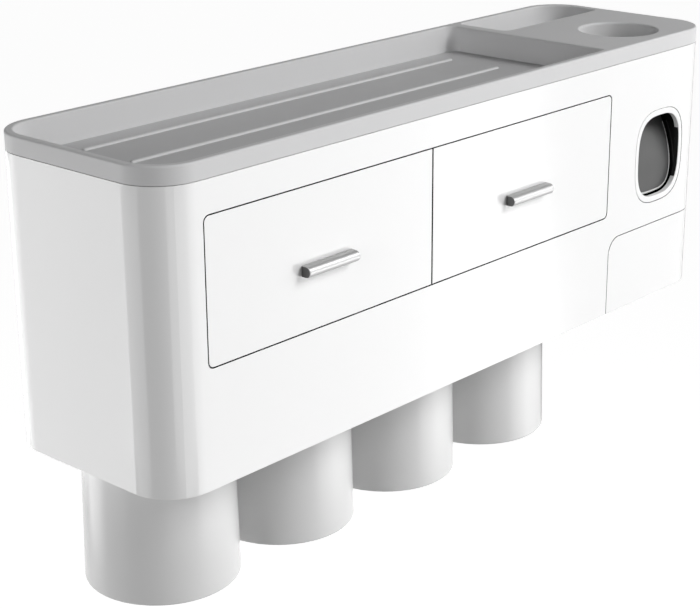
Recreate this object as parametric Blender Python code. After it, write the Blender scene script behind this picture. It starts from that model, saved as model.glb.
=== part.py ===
"""Wall-hung toothbrush holder: drawers, magnetic cups, a brush rack and a toothpaste squeezer.

Metres, +Z up. The origin is the centre of the adhesive face that meets the wall, +X runs to the
right of someone who faces the holder, and +Y points into the wall.
"""

import math

import bmesh
import bpy
from mathutils import Matrix, Vector

# Clearances
REST_GAP = 0.0003
SLIDE_GAP = 0.0005
CUT_MARGIN = 0.004

# Body shell
BODY_WIDTH = 0.400
BODY_DEPTH = 0.1078
BODY_HEIGHT = 0.1341
CORNER_RADIUS = 0.0212
WALL = 0.0025
INNER_WALL = 0.002
SEAM_ABOVE_MOUNT = 0.045

# Top tray
TRAY_BAND = 0.0082
TRAY_RIM = 0.004
TRAY_FLOOR = 0.002
TRAY_DEPTH = 0.0132
TRAY_FILLET = 0.001
TRAY_INNER_FILLET = 0.002
MAIN_TRAY_INSET = 0.095
RIB_WIDTH = 0.0024
RIB_HEIGHT = 0.001
RIB_CHAMFER = 0.0004
RIB_PITCH = 0.0309
RIB_COUNT = 3
RIB_END_MARGIN = 0.031
RIB_RIGHT_MARGIN = 0.0205
RIB_SETBACK = 0.0015
POCKET_INSET = 0.088
POCKET_FRONT = 0.0715
POCKET_RIM = 0.005

# Drawers
DRAWER_LEFT = 0.024
DRAWER_RIGHT_INSET = 0.0922
DRAWER_TOP = 0.0146
DRAWER_HEIGHT = 0.0657
DRAWER_RADIUS = 0.003
FRONT_THICKNESS = 0.0025
FRONT_GAP = 0.0003
BOX_WALL = 0.0016
BOX_HEIGHT = 0.056
BOX_REAR_ROOM = 0.0022
BOX_SIDE_MARGIN = 0.0018
BOX_RADIUS = 0.004
DRAWER_TRAVEL = 0.070
STOP_LENGTH = 0.0025
STOP_CATCH = 0.0025
SHELF = 0.0025
GUIDE_HEIGHT = 0.014

# Drawer handles
HANDLE_LENGTH = 0.0316
HANDLE_HEIGHT = 0.0051
HANDLE_REACH = 0.0054
HANDLE_FLAT = 0.0024
HANDLE_DROP = 0.037
SCREW_RADIUS = 0.0013
SCREW_HEAD_RADIUS = 0.0028
SCREW_HEAD_HEIGHT = 0.0016
HANDLE_SCREW_SPACING = 0.020
HANDLE_SCREW_DEPTH = 0.0032

# Cups and their magnets
CUP_SPACING = 0.0057
CUP_SIDE_ROOM = 0.0061
CUP_DROP = 0.0138
CUP_HEIGHT = 0.100
CUP_MOUTH_RADIUS = 0.0353
CUP_TAPER = 0.0021
CUP_WALL = 0.0022
CUP_BASE = 0.0025
CUP_EDGE = 0.003
MAGNET_RADIUS = 0.010
MAGNET_HEIGHT = 0.003
MAGNET_RIM = 0.0022

# Brush rack in the skirt
RACK_CUP_ROOM = 0.0013
RACK_THICKNESS = 0.002
RACK_ABOVE_BOTTOM = 0.016
RACK_FLANGE = 0.014
RACK_LIP = 0.0025
RACK_SPINE = 0.0055
NOTCH_WIDTH = 0.008
NOTCH_OFFSET = 0.0088

# Back panel and wall bracket
REAR_FRAME_SETBACK = 0.0076
REAR_OPENING_MARGIN = 0.017
REAR_BAND = 0.008
FRAME_BORDER = 0.010
PANEL = 0.0022
PANEL_RADIUS = 0.004
PANEL_SCREW_MARGIN = 0.0048
PANEL_SCREW_DEPTH = 0.008
BOSS_RADIUS = 0.0034
PAD_THICKNESS = 0.001
PAD_WIDTH = 0.072
PAD_HEIGHT = 0.044
PAD_PITCH = 0.086
PAD_COUNT = 3
BRACKET_WIDTH = 0.260
BRACKET_HEIGHT = 0.050
BRACKET_PLATE = 0.002
BRACKET_RADIUS = 0.004
HOOK_SPACING = 0.180
HOOK_WIDTH = 0.014
HOOK_NECK = 0.004
HOOK_LIP = 0.002
HOOK_CATCH = 0.008
HOOK_Z = 0.012
LIFT_SPARE = 0.002

# Toothpaste squeezer
DISPENSER_INSET = 0.0458
TUBE_Y = 0.0292
TUBE_BORE = 0.0204
TUBE_FILLET = 0.0013
COLLAR_WALL = 0.0025
COLLAR_DROP = 0.006
WINDOW_DROP = 0.0556
MOUTH_HALF_WIDTH = 0.0192
MOUTH_HALF_HEIGHT = 0.0219
BEZEL_SIDE = 0.0031
BEZEL_END = 0.0034
SQUIRCLE = 3.0
BEZEL_EDGE = 0.0006
CHAMBER_WALL = 0.002
CHAMBER_DEPTH = 0.042
CHAMBER_HEAD_ROOM = 0.004
CHAMBER_FOOT_ROOM = 0.0024
CHAMBER_RADIUS = 0.008
CHAMBER_TOP_RADIUS = 0.002
CHAMBER_FLANGE = 0.0085
FLANGE_SETBACK = 0.004
FLANGE_SCREW_INSET = 0.0035
POST_RADIUS = 0.0032
TOWER_RADIUS = 0.0142
TOWER_RIM_RADIUS = 0.0232
SEAT_HEIGHT = 0.0060
SEAT_MOUTH_RADIUS = 0.017
SEAT_NECK_RADIUS = 0.0058
BELLOWS_RADIUS = 0.0105
BELLOWS_VALLEY = 0.0082
BELLOWS_FOLDS = 3
BELLOWS_WALL = 0.0012
DUCT_DISC_RADIUS = 0.0115
DUCT_DISC = 0.004
NOZZLE_RADIUS = 0.0027
NOZZLE_BORE = 0.0013
NOZZLE_Y = 0.0082
NOZZLE_TIP_ROOM = 0.0012
LEVER_PLATE = 0.0022
LEVER_FACE_Y = 0.004
LEVER_ARC = 0.060
LEVER_STRAIGHT = 0.009
LEVER_SIDE_GAP = 0.0010
LEVER_PIN_RADIUS = 0.0015
LEVER_HUB_RADIUS = 0.0034
LEVER_PIN_Y = 0.0165
LEVER_PAD_RADIUS = 0.0078
LEVER_ARM_WIDTH = 0.010

# Removable cover below the squeezer
COVER_SIDE_GAP = 0.00035
COVER_HEAD_ROOM = 0.0104
COVER_RADIUS = 0.009
COVER_REAR_MARGIN = 0.024
COVER_SEAM = 0.0004
TONGUE_LENGTH = 0.020
TONGUE_RISE = 0.0055
TONGUE_THICKNESS = 0.0015

# How finely the round shapes are faceted
LARGE_CORNER = 0.006
LEAST_RADIUS = 0.0002
BIG_STEPS = 10
SMALL_STEPS = 3
FILLET_STEPS = 2
ROUND_STEPS = 40
CUP_STEPS = 32
SMALL_ROUND_STEPS = 16
PUMP_STEPS = 20
SCREW_STEPS = 10
TURN = 2 * math.pi
SMOOTH_ANGLE = math.radians(35)


def at_x(from_left):
    return from_left - BODY_WIDTH / 2


def at_y(from_front):
    return from_front - BODY_DEPTH - REST_GAP


def at_z(above_seam):
    return SEAM_ABOVE_MOUNT + above_seam


LEFT, RIGHT = at_x(0), at_x(BODY_WIDTH)
FRONT, BACK = at_y(0), at_y(BODY_DEPTH)
TOP = at_z(TRAY_BAND)
BOTTOM = at_z(-BODY_HEIGHT)
ALL_CORNERS = (CORNER_RADIUS,) * 4
TRAY_BOTTOM = TOP - TRAY_DEPTH - TRAY_FLOOR
BAY_TOP = TRAY_BOTTOM - REST_GAP
OPENING_LEFT = LEFT + DRAWER_LEFT
OPENING_RIGHT = RIGHT - DRAWER_RIGHT_INSET
OPENING_TOP = at_z(-DRAWER_TOP)
SHELF_TOP = OPENING_TOP - DRAWER_HEIGHT
SHELF_BOTTOM = SHELF_TOP - SHELF
MULLION_X = (OPENING_LEFT + OPENING_RIGHT) / 2
BULKHEAD = (OPENING_RIGHT, OPENING_RIGHT + INNER_WALL)
FRAME_BACK = BACK - REAR_FRAME_SETBACK
FRAME_FRONT = FRAME_BACK - INNER_WALL
PANEL_FRONT = FRAME_BACK + REST_GAP
PANEL_BACK = PANEL_FRONT + PANEL
HOOK_FRONT = PANEL_FRONT - SLIDE_GAP - HOOK_LIP
BOX_BACK = HOOK_FRONT - BOX_REAR_ROOM
LIFT_TRAVEL = HOOK_CATCH + LIFT_SPARE
CUP_TOP = SHELF_BOTTOM - CUP_DROP
CUP_Y = (FRONT + BACK) / 2
CUP_BASE_RADIUS = CUP_MOUTH_RADIUS - CUP_TAPER
CUP_PITCH = 2 * CUP_MOUTH_RADIUS + CUP_SPACING
RACK_FRONT = FRONT + WALL + REST_GAP
RACK_BACK = CUP_Y - CUP_MOUTH_RADIUS - RACK_CUP_ROOM
DISPENSER = RIGHT - DISPENSER_INSET
TUBE_AT = Vector((DISPENSER, at_y(TUBE_Y)))
COLLAR_END = at_z(-COLLAR_DROP)
WINDOW_Z = at_z(-WINDOW_DROP)
WINDOW_HALF_WIDTH = MOUTH_HALF_WIDTH + BEZEL_SIDE
WINDOW_HALF_HEIGHT = MOUTH_HALF_HEIGHT + BEZEL_END
MOUTH_TOP = WINDOW_Z + MOUTH_HALF_HEIGHT
MOUTH_BOTTOM = WINDOW_Z - MOUTH_HALF_HEIGHT
CAVITY_LOW = MOUTH_BOTTOM - CHAMBER_FOOT_ROOM
CAVITY_HIGH = MOUTH_TOP + CHAMBER_HEAD_ROOM
LEVER_PIN_Z = MOUTH_TOP - LEVER_PIN_RADIUS
COVER_LEFT = BULKHEAD[1] + COVER_SIDE_GAP
COVER_TOP = CAVITY_LOW - CHAMBER_WALL - COVER_HEAD_ROOM
COVER_BACK = BACK - COVER_REAR_MARGIN
PLANES = {
    "xy": lambda u, v, height: (u, v, height),
    "xz": lambda u, v, height: (u, height, v),
    "yz": lambda u, v, height: (height, u, v),
}


def clear_scene():
    for old in list(bpy.data.objects):
        bpy.data.objects.remove(old, do_unlink=True)


def material(name, colour, roughness, metallic=0.0):
    made = bpy.data.materials.new(name)
    made.use_nodes = True
    shader = made.node_tree.nodes["Principled BSDF"]
    shader.inputs["Base Color"].default_value = (*colour, 1.0)
    shader.inputs["Roughness"].default_value = roughness
    shader.inputs["Metallic"].default_value = metallic
    return made


def to_object(name, work):
    """Turns a bmesh into an object whose faces point outwards."""
    bmesh.ops.remove_doubles(work, verts=work.verts, dist=1e-7)
    bmesh.ops.recalc_face_normals(work, faces=work.faces)
    mesh = bpy.data.meshes.new(name)
    work.to_mesh(mesh)
    work.free()
    made = bpy.data.objects.new(name, mesh)
    bpy.context.scene.collection.objects.link(made)
    return made


def outline(left, right, low, high, radii, inset=0.0):
    """Rectangle with its own radius at each corner, anticlockwise from the low left one."""
    corners = (
        (left + inset, low + inset, 1, 1, math.pi),
        (right - inset, low + inset, -1, 1, 1.5 * math.pi),
        (right - inset, high - inset, -1, -1, 0.0),
        (left + inset, high - inset, 1, -1, 0.5 * math.pi),
    )
    points = []
    for (x, y, side_x, side_y, start), radius in zip(corners, radii):
        if radius == 0:
            points.append((x, y))
            continue
        steps = BIG_STEPS if radius > LARGE_CORNER else SMALL_STEPS
        reach = max(radius - inset, LEAST_RADIUS)
        centre_x, centre_y = x + side_x * reach, y + side_y * reach
        for step in range(steps + 1):
            angle = start + step / steps * math.pi / 2
            points.append((centre_x + reach * math.cos(angle), centre_y + reach * math.sin(angle)))
    return points


def body_outline(inset=0.0):
    return outline(LEFT, RIGHT, FRONT, BACK, ALL_CORNERS, inset)


def squircle(x, z, half_width, half_height):
    """Superellipse in the front's plane."""
    points = []
    for step in range(ROUND_STEPS):
        angle = TURN * step / ROUND_STEPS
        across, up = math.cos(angle), math.sin(angle)
        points.append(
            (
                x + half_width * math.copysign(abs(across) ** (2 / SQUIRCLE), across),
                z + half_height * math.copysign(abs(up) ** (2 / SQUIRCLE), up),
            )
        )
    return points


def loft(name, sections, plane="xy"):
    """Solid through outlines of equal length, given as (height, points) along the plane's normal."""
    place = PLANES[plane]
    work = bmesh.new()
    loops = [[work.verts.new(place(u, v, height)) for u, v in points] for height, points in sections]
    for lower, upper in zip(loops, loops[1:]):
        for index in range(len(lower)):
            work.faces.new((lower[index - 1], lower[index], upper[index], upper[index - 1]))
    work.faces.new(loops[0])
    work.faces.new(loops[-1])
    return to_object(name, work)


def prism(name, points, start, end, plane="xy"):
    return loft(name, [(start, points), (end, points)], plane)


def block(name, x, y, z):
    return prism(name, outline(*x, *y, (0, 0, 0, 0)), *z)


def round_bar(name, centre, radius, start, end, axis="z", steps=SMALL_ROUND_STEPS):
    """Cylinder; centre is given in the plane across its axis, in the order of that plane."""
    plane = {"z": "xy", "y": "xz", "x": "yz"}[axis]
    ring = [
        (centre[0] + radius * math.cos(TURN * k / steps), centre[1] + radius * math.sin(TURN * k / steps))
        for k in range(steps)
    ]
    return prism(name, ring, start, end, plane)


def revolve(name, profile, centre, closed=False, steps=ROUND_STEPS):
    """Solid turned about a vertical line; the profile is (radius, height) pairs."""
    work = bmesh.new()
    line = [work.verts.new((centre[0] + radius, centre[1], height)) for radius, height in profile]
    pairs = list(zip(line, line[1:]))
    if closed:
        pairs.append((line[-1], line[0]))
    edges = [work.edges.new(pair) for pair in pairs]
    bmesh.ops.spin(
        work,
        geom=line + edges,
        cent=(centre[0], centre[1], 0),
        axis=(0, 0, 1),
        angle=TURN,
        steps=steps,
        use_merge=True,
    )
    return to_object(name, work)


def quarter(steps=FILLET_STEPS):
    """Sine and cosine pairs round a quarter circle."""
    angles = [k / steps * math.pi / 2 for k in range(steps + 1)]
    return [(math.sin(angle), math.cos(angle)) for angle in angles]


def combine(target, operation, tools):
    """Runs one Boolean after another on the target and bakes the result."""
    for tool in tools:
        modifier = target.modifiers.new(tool.name, "BOOLEAN")
        modifier.operation = operation
        modifier.solver = "EXACT"
        modifier.object = tool
        tool.hide_render = True
        tool.display_type = "WIRE"
    graph = bpy.context.evaluated_depsgraph_get()
    baked = bpy.data.meshes.new_from_object(target.evaluated_get(graph))
    target.modifiers.clear()
    target.data = baked
    for tool in tools:
        bpy.data.objects.remove(tool, do_unlink=True)
    return target


def join(target, *tools):
    return combine(target, "UNION", tools)


def cut(target, *tools):
    return combine(target, "DIFFERENCE", tools)


def piece(made, finish):
    """Gives a finished piece its material and its smooth shading."""
    made.data.materials.clear()
    made.data.materials.append(finish)
    made.data.shade_smooth()
    made.data.set_sharp_from_angle(angle=SMOOTH_ANGLE)
    return made


def hang_on(parent_name, location, children):
    """Puts pieces under an empty that stands on their joint's axis."""
    parent = bpy.data.objects.new(parent_name, None)
    bpy.context.scene.collection.objects.link(parent)
    parent.location = location
    for child in children:
        child.parent = parent
        child.matrix_parent_inverse = Matrix.Translation(-Vector(location))


# Screws all have a round head and a plain shank, along Y, with the head behind the shank.


def screw(name, x, z, head_face, length):
    """head_face is where the head's underside rests; the shank runs towards the front."""
    head_low = head_face + REST_GAP
    head_high = head_low + SCREW_HEAD_HEIGHT
    shank_end = head_low + SCREW_HEAD_HEIGHT / 2
    shank = round_bar(name, (x, z), SCREW_RADIUS, head_face - length, shank_end, "y", SCREW_STEPS)
    head = round_bar("head", (x, z), SCREW_HEAD_RADIUS, head_low, head_high, "y", SCREW_STEPS)
    return join(shank, head)


def screw_hole(x, z, start, end):
    return round_bar("screw_hole", (x, z), SCREW_RADIUS + REST_GAP, start, end, "y", SCREW_STEPS)


# The moulded body: one shell with a shelf under the drawers, walls that guide them and a rear frame.


def panel_screw_places():
    side = REAR_OPENING_MARGIN + PANEL_SCREW_MARGIN
    upper = at_z(-2 * REAR_BAND - BOSS_RADIUS)
    middle = SHELF_TOP + 2 * BOSS_RADIUS
    lower = BOTTOM + REAR_BAND + 2 * BOSS_RADIUS
    return [(x, z) for x in (LEFT + side, RIGHT - side) for z in (upper, middle, lower)]


def flange_box():
    """Outer edges of the squeezer chamber's flange: left, right, low, high."""
    half = MOUTH_HALF_WIDTH + CHAMBER_WALL + CHAMBER_FLANGE
    return DISPENSER - half, DISPENSER + half, CAVITY_LOW - CHAMBER_WALL, CAVITY_HIGH + CHAMBER_WALL


def flange_screw_places():
    left, right, low, high = flange_box()
    inset = FLANGE_SCREW_INSET
    return [(x, z) for x in (left + inset, right - inset) for z in (low + inset, high - inset)]


def rear_frame():
    """Ledge round the inside of the back, which the back panel is screwed to."""
    ledge = prism("ledge", body_outline(WALL / 2), BOTTOM, BAY_TOP)
    past_ends = (BOTTOM - CUT_MARGIN, BAY_TOP + CUT_MARGIN)
    slab = block("slab", (LEFT, RIGHT), (FRAME_FRONT, FRAME_BACK), past_ends)
    combine(ledge, "INTERSECT", [slab])
    reach = REAR_OPENING_MARGIN + FRAME_BORDER
    window = block(
        "window",
        (LEFT + reach, RIGHT - reach),
        (FRAME_FRONT - CUT_MARGIN, FRAME_BACK + CUT_MARGIN),
        (BOTTOM + REAR_BAND, BAY_TOP - REAR_BAND),
    )
    return cut(ledge, window)


def cup_centres():
    """Middle of each cup: as many as fit between the left side and the squeezer."""
    first = LEFT + CUP_SIDE_ROOM + CUP_MOUTH_RADIUS
    room = BULKHEAD[0] - CUP_MOUTH_RADIUS - first
    return [first + k * CUP_PITCH for k in range(1 + math.floor(room / CUP_PITCH))]


def cover_cutter(inset, name="cover_space"):
    """The corner of the body that the removable cover takes, as a block with one rounded edge."""
    return prism(
        name,
        outline(
            COVER_LEFT + inset,
            RIGHT + CUT_MARGIN,
            BOTTOM - CUT_MARGIN,
            COVER_TOP - inset,
            (0, 0, 0, COVER_RADIUS),
        ),
        FRONT - CUT_MARGIN,
        COVER_BACK - inset,
        "xz",
    )


def make_housing(finish):
    seam = at_z(0) - REST_GAP / 2
    housing = prism("housing", body_outline(), BOTTOM, seam)
    cut(housing, prism("hollow", body_outline(WALL), BOTTOM - CUT_MARGIN, seam + CUT_MARGIN))
    half_wall = WALL / 2
    inner_front = FRONT + half_wall
    bulkhead_left, bulkhead_right = BULKHEAD
    shelf = prism("shelf", body_outline(half_wall), SHELF_BOTTOM, SHELF_TOP)
    bay = block(
        "bay",
        (LEFT, bulkhead_left + half_wall),
        (FRONT, FRAME_FRONT + half_wall),
        (SHELF_BOTTOM - CUT_MARGIN, SHELF_TOP + CUT_MARGIN),
    )
    combine(shelf, "INTERSECT", [bay])
    bulkhead = block("bulkhead", BULKHEAD, (inner_front, FRAME_FRONT + half_wall), (BOTTOM, BAY_TOP))
    guide = block(
        "guide",
        (OPENING_LEFT - INNER_WALL, OPENING_LEFT),
        (inner_front, FRAME_FRONT + half_wall),
        (SHELF_TOP - SHELF / 2, SHELF_TOP + GUIDE_HEIGHT),
    )
    mullion = block(
        "mullion",
        (MULLION_X - INNER_WALL / 2, MULLION_X + INNER_WALL / 2),
        (FRONT + WALL + FRONT_GAP, FRAME_FRONT + half_wall),
        (SHELF_BOTTOM + SHELF / 2, BAY_TOP - INNER_WALL),
    )
    mullion_head = block(
        "mullion_head",
        (MULLION_X - INNER_WALL / 2, MULLION_X + INNER_WALL / 2),
        (inner_front, FRONT + 2 * WALL),
        (OPENING_TOP + half_wall, BAY_TOP - INNER_WALL),
    )
    seat_radius = MAGNET_RADIUS + MAGNET_RIM
    seats = [
        round_bar("seat", (x, CUP_Y), seat_radius, CUP_TOP + REST_GAP, SHELF_TOP - SHELF / 2)
        for x in cup_centres()
    ]
    boss_end = FRAME_BACK - PANEL_SCREW_DEPTH - INNER_WALL
    bosses = [
        round_bar("boss", place, BOSS_RADIUS, boss_end, FRAME_BACK - INNER_WALL / 2, "y")
        for place in panel_screw_places()
    ]
    post_end = FRONT + WALL + FLANGE_SETBACK
    posts = [
        round_bar("post", place, POST_RADIUS, inner_front, post_end, "y")
        for place in flange_screw_places()
    ]
    join(housing, shelf, bulkhead, guide, mullion, mullion_head, rear_frame(), *seats, *bosses, *posts)

    through_front = (FRONT - CUT_MARGIN, FRONT + WALL + REST_GAP / 2)
    drawer_opening = prism(
        "drawer_opening",
        outline(OPENING_LEFT, OPENING_RIGHT, SHELF_TOP, OPENING_TOP, (DRAWER_RADIUS,) * 4),
        *through_front,
        "xz",
    )
    window_edge = squircle(DISPENSER, WINDOW_Z, WINDOW_HALF_WIDTH, WINDOW_HALF_HEIGHT)
    window = prism("window", window_edge, *through_front, "xz")
    rear = block(
        "rear",
        (LEFT + REAR_OPENING_MARGIN, RIGHT - REAR_OPENING_MARGIN),
        (FRAME_BACK + REST_GAP / 2, BACK + CUT_MARGIN),
        (BOTTOM - CUT_MARGIN, at_z(-REAR_BAND)),
    )
    pocket_end = CUP_TOP + MAGNET_HEIGHT + 2 * REST_GAP
    magnet_pockets = [
        round_bar("pocket", (x, CUP_Y), MAGNET_RADIUS + REST_GAP, CUP_TOP - CUT_MARGIN, pocket_end)
        for x in cup_centres()
    ]
    panel_holes = [
        screw_hole(x, z, FRAME_BACK - PANEL_SCREW_DEPTH, FRAME_BACK + CUT_MARGIN)
        for x, z in panel_screw_places()
    ]
    post_holes = [
        screw_hole(x, z, FRONT + WALL, post_end + CUT_MARGIN)
        for x, z in flange_screw_places()
    ]
    openings = [drawer_opening, window, rear, cover_cutter(0.0)]
    cut(housing, *openings, *magnet_pockets, *panel_holes, *post_holes)
    return piece(housing, finish)


# The grey tray that closes the top.


def flared_pocket(name, left, right, low, high, radii, floor):
    """Cutter for a recess with a rounded foot and a rounded upper edge."""
    foot, lip = TRAY_INNER_FILLET, TRAY_FILLET
    sections = [(floor + foot * (1 - cosine), foot * (1 - sine)) for sine, cosine in quarter()]
    sections += [(TOP - lip * (1 - sine), -lip * (1 - cosine)) for sine, cosine in quarter()]
    sections.append((TOP + CUT_MARGIN, -lip))
    edges = (left, right, low, high, radii)
    return loft(name, [(height, outline(*edges, inset)) for height, inset in sections])


def main_recess():
    corner = CORNER_RADIUS - TRAY_RIM
    corners = (corner, TRAY_INNER_FILLET, TRAY_INNER_FILLET, corner)
    return LEFT + TRAY_RIM, RIGHT - MAIN_TRAY_INSET, FRONT + TRAY_RIM, BACK - TRAY_RIM, corners


def rear_recess():
    small = 2 * TRAY_INNER_FILLET
    corners = (small, small, CORNER_RADIUS - TRAY_RIM, small)
    return RIGHT - POCKET_INSET, RIGHT - POCKET_RIM, at_y(POCKET_FRONT), BACK - TRAY_RIM, corners


def tray_tub(name, recess, plug_corners):
    """Part of the tray that hangs inside the body round a recess."""
    left, right, low, high, _ = recess
    inner = WALL + REST_GAP
    walls = (
        max(left - TRAY_FLOOR, LEFT + inner),
        min(right + TRAY_FLOOR, RIGHT - inner),
        max(low - TRAY_FLOOR, FRONT + inner),
        min(high + TRAY_FLOOR, BACK - inner),
    )
    return prism(name, outline(*walls, plug_corners), TRAY_BOTTOM, TOP - TRAY_BAND / 2)


def make_tray(finish):
    band_low = at_z(0) + REST_GAP / 2
    sections = [(band_low, 0.0)]
    sections += [
        (TOP - TRAY_FILLET * (1 - sine), TRAY_FILLET * (1 - cosine))
        for sine, cosine in quarter()
    ]
    tray = loft("top_tray", [(height, body_outline(inset)) for height, inset in sections])
    thick = 2 * TRAY_RIM
    under_deck = prism(
        "under_deck",
        outline(
            RIGHT - POCKET_INSET,
            RIGHT - thick,
            FRONT + thick,
            at_y(POCKET_FRONT) - TRAY_RIM,
            (0, CORNER_RADIUS - thick, 0, 0),
        ),
        band_low - CUT_MARGIN,
        TOP - TRAY_FLOOR - REST_GAP,
    )
    cut(tray, under_deck)
    plug = CORNER_RADIUS - WALL - REST_GAP
    collar_radius = TUBE_BORE + COLLAR_WALL
    collar_top = TOP - TRAY_FLOOR / 2
    collar = round_bar("collar", TUBE_AT, collar_radius, COLLAR_END, collar_top, steps=ROUND_STEPS)
    main_tub = tray_tub("main_tub", main_recess(), (plug, 0, 0, plug))
    rear_tub = tray_tub("rear_tub", rear_recess(), (0, 0, plug, 0))
    join(tray, main_tub, rear_tub, collar)

    floor = TOP - TRAY_DEPTH
    main_cut = flared_pocket("main_cut", *main_recess(), floor)
    rear_cut = flared_pocket("rear_cut", *rear_recess(), floor)
    flare = [(TUBE_BORE, COLLAR_END - CUT_MARGIN)]
    flare += [
        (TUBE_BORE + TUBE_FILLET * (1 - cosine), TOP - TUBE_FILLET * (1 - sine))
        for sine, cosine in quarter()
    ]
    flare.append((TUBE_BORE + TUBE_FILLET, TOP + CUT_MARGIN))
    flare = [(0, flare[0][1]), *flare, (0, flare[-1][1])]
    cut(tray, main_cut, rear_cut, revolve("tube_hole", flare, TUBE_AT))

    left, right, low, high, _ = main_recess()
    middle = (low + high) / 2 + RIB_SETBACK
    round_end = (RIB_WIDTH / 2 - REST_GAP / 3,) * 4
    rib_top = floor + RIB_HEIGHT
    levels = [(floor - TRAY_FLOOR / 2, 0.0), (rib_top - RIB_CHAMFER, 0.0), (rib_top, RIB_CHAMFER)]
    ribs = []
    for k in range(RIB_COUNT):
        y = middle + (k - (RIB_COUNT - 1) / 2) * RIB_PITCH
        edges = (left + RIB_END_MARGIN, right - RIB_RIGHT_MARGIN, y - RIB_WIDTH / 2, y + RIB_WIDTH / 2)
        rings = [(height, outline(*edges, round_end, inset)) for height, inset in levels]
        ribs.append(loft(f"rib_{k}", rings))
    join(tray, *ribs)
    return piece(tray, finish)


# Drawers: a moulded box, a flush front and a bar handle that two screws hold from inside.


def drawer_edges(side):
    """Left and right edge of one drawer front."""
    if side == "left":
        return OPENING_LEFT + FRONT_GAP, MULLION_X - FRONT_GAP / 2
    return MULLION_X + FRONT_GAP / 2, OPENING_RIGHT - FRONT_GAP


def handle_screw_places(side):
    left, right = drawer_edges(side)
    middle = (left + right) / 2
    z = OPENING_TOP - HANDLE_DROP
    return [(middle - HANDLE_SCREW_SPACING / 2, z), (middle + HANDLE_SCREW_SPACING / 2, z)]


def handle_section():
    """D section: flat on the drawer, flat above and below, round in front."""
    back = FRONT - REST_GAP
    z = OPENING_TOP - HANDLE_DROP
    half = HANDLE_HEIGHT / 2
    straight = back - HANDLE_FLAT
    nose = HANDLE_REACH - REST_GAP - HANDLE_FLAT
    points = [(back, z + half), (back, z - half)]
    for step in range(BIG_STEPS + 1):
        angle = -math.pi / 2 + math.pi * step / BIG_STEPS
        points.append((straight - nose * math.cos(angle), z + half * math.sin(angle)))
    return points


def make_drawer(side, shell_finish, box_finish, metal, steel):
    left, right = drawer_edges(side)
    low, high = SHELF_TOP + FRONT_GAP, OPENING_TOP - FRONT_GAP
    outer = DRAWER_RADIUS - FRONT_GAP
    radii = (outer, 0, 0, outer) if side == "left" else (0, outer, outer, 0)
    face_back = FRONT + FRONT_THICKNESS
    face = prism(f"drawer_front_{side}", outline(left, right, low, high, radii), FRONT, face_back, "xz")

    box_left, box_right = left + BOX_SIDE_MARGIN, right - BOX_SIDE_MARGIN
    box_front = face_back + REST_GAP
    box_low, box_high = low, low + BOX_HEIGHT
    edges = (box_left, box_right, box_front, BOX_BACK)
    corners = (BOX_RADIUS,) * 4
    box = prism(f"drawer_box_{side}", outline(*edges, corners), box_low, box_high)
    levels = [
        (box_low + BOX_WALL, 2 * BOX_WALL),
        (box_low + 2 * BOX_WALL, BOX_WALL),
        (box_high + CUT_MARGIN, BOX_WALL),
    ]
    cut(box, loft("hollow", [(height, outline(*edges, corners, inset)) for height, inset in levels]))
    stop_front = FRONT + WALL + FRONT_GAP + DRAWER_TRAVEL
    stops = [
        block(
            "stop",
            (x, x + BOX_WALL - 2 * REST_GAP),
            (stop_front, stop_front + STOP_LENGTH),
            (box_high - STOP_LENGTH, OPENING_TOP + STOP_CATCH),
        )
        for x in (box_left + REST_GAP, box_right - BOX_WALL + REST_GAP)
    ]
    join(box, *stops)

    middle = (left + right) / 2
    reach = HANDLE_LENGTH / 2
    handle = prism(f"handle_{side}", handle_section(), middle - reach, middle + reach, "yz")
    inner_face = box_front + BOX_WALL
    tip = FRONT - REST_GAP - HANDLE_SCREW_DEPTH
    places = handle_screw_places(side)
    screws = [
        screw(f"handle_screw_{side}_{number}", x, z, inner_face, inner_face - tip)
        for number, (x, z) in enumerate(places, start=1)
    ]
    cut(box, *[screw_hole(x, z, box_front - CUT_MARGIN, inner_face + CUT_MARGIN) for x, z in places])
    cut(face, *[screw_hole(x, z, FRONT - CUT_MARGIN, box_front + CUT_MARGIN) for x, z in places])
    cut(handle, *[screw_hole(x, z, tip - REST_GAP, FRONT + CUT_MARGIN) for x, z in places])
    pieces = [
        piece(face, shell_finish),
        piece(box, box_finish),
        piece(handle, metal),
        *[piece(made, steel) for made in screws],
    ]
    hang_on(f"drawer_{side}_runner", (middle, FRONT, SHELF_TOP), pieces)


# Cups hang mouth down; a disc magnet in each base meets one in the seat above it.


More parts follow.
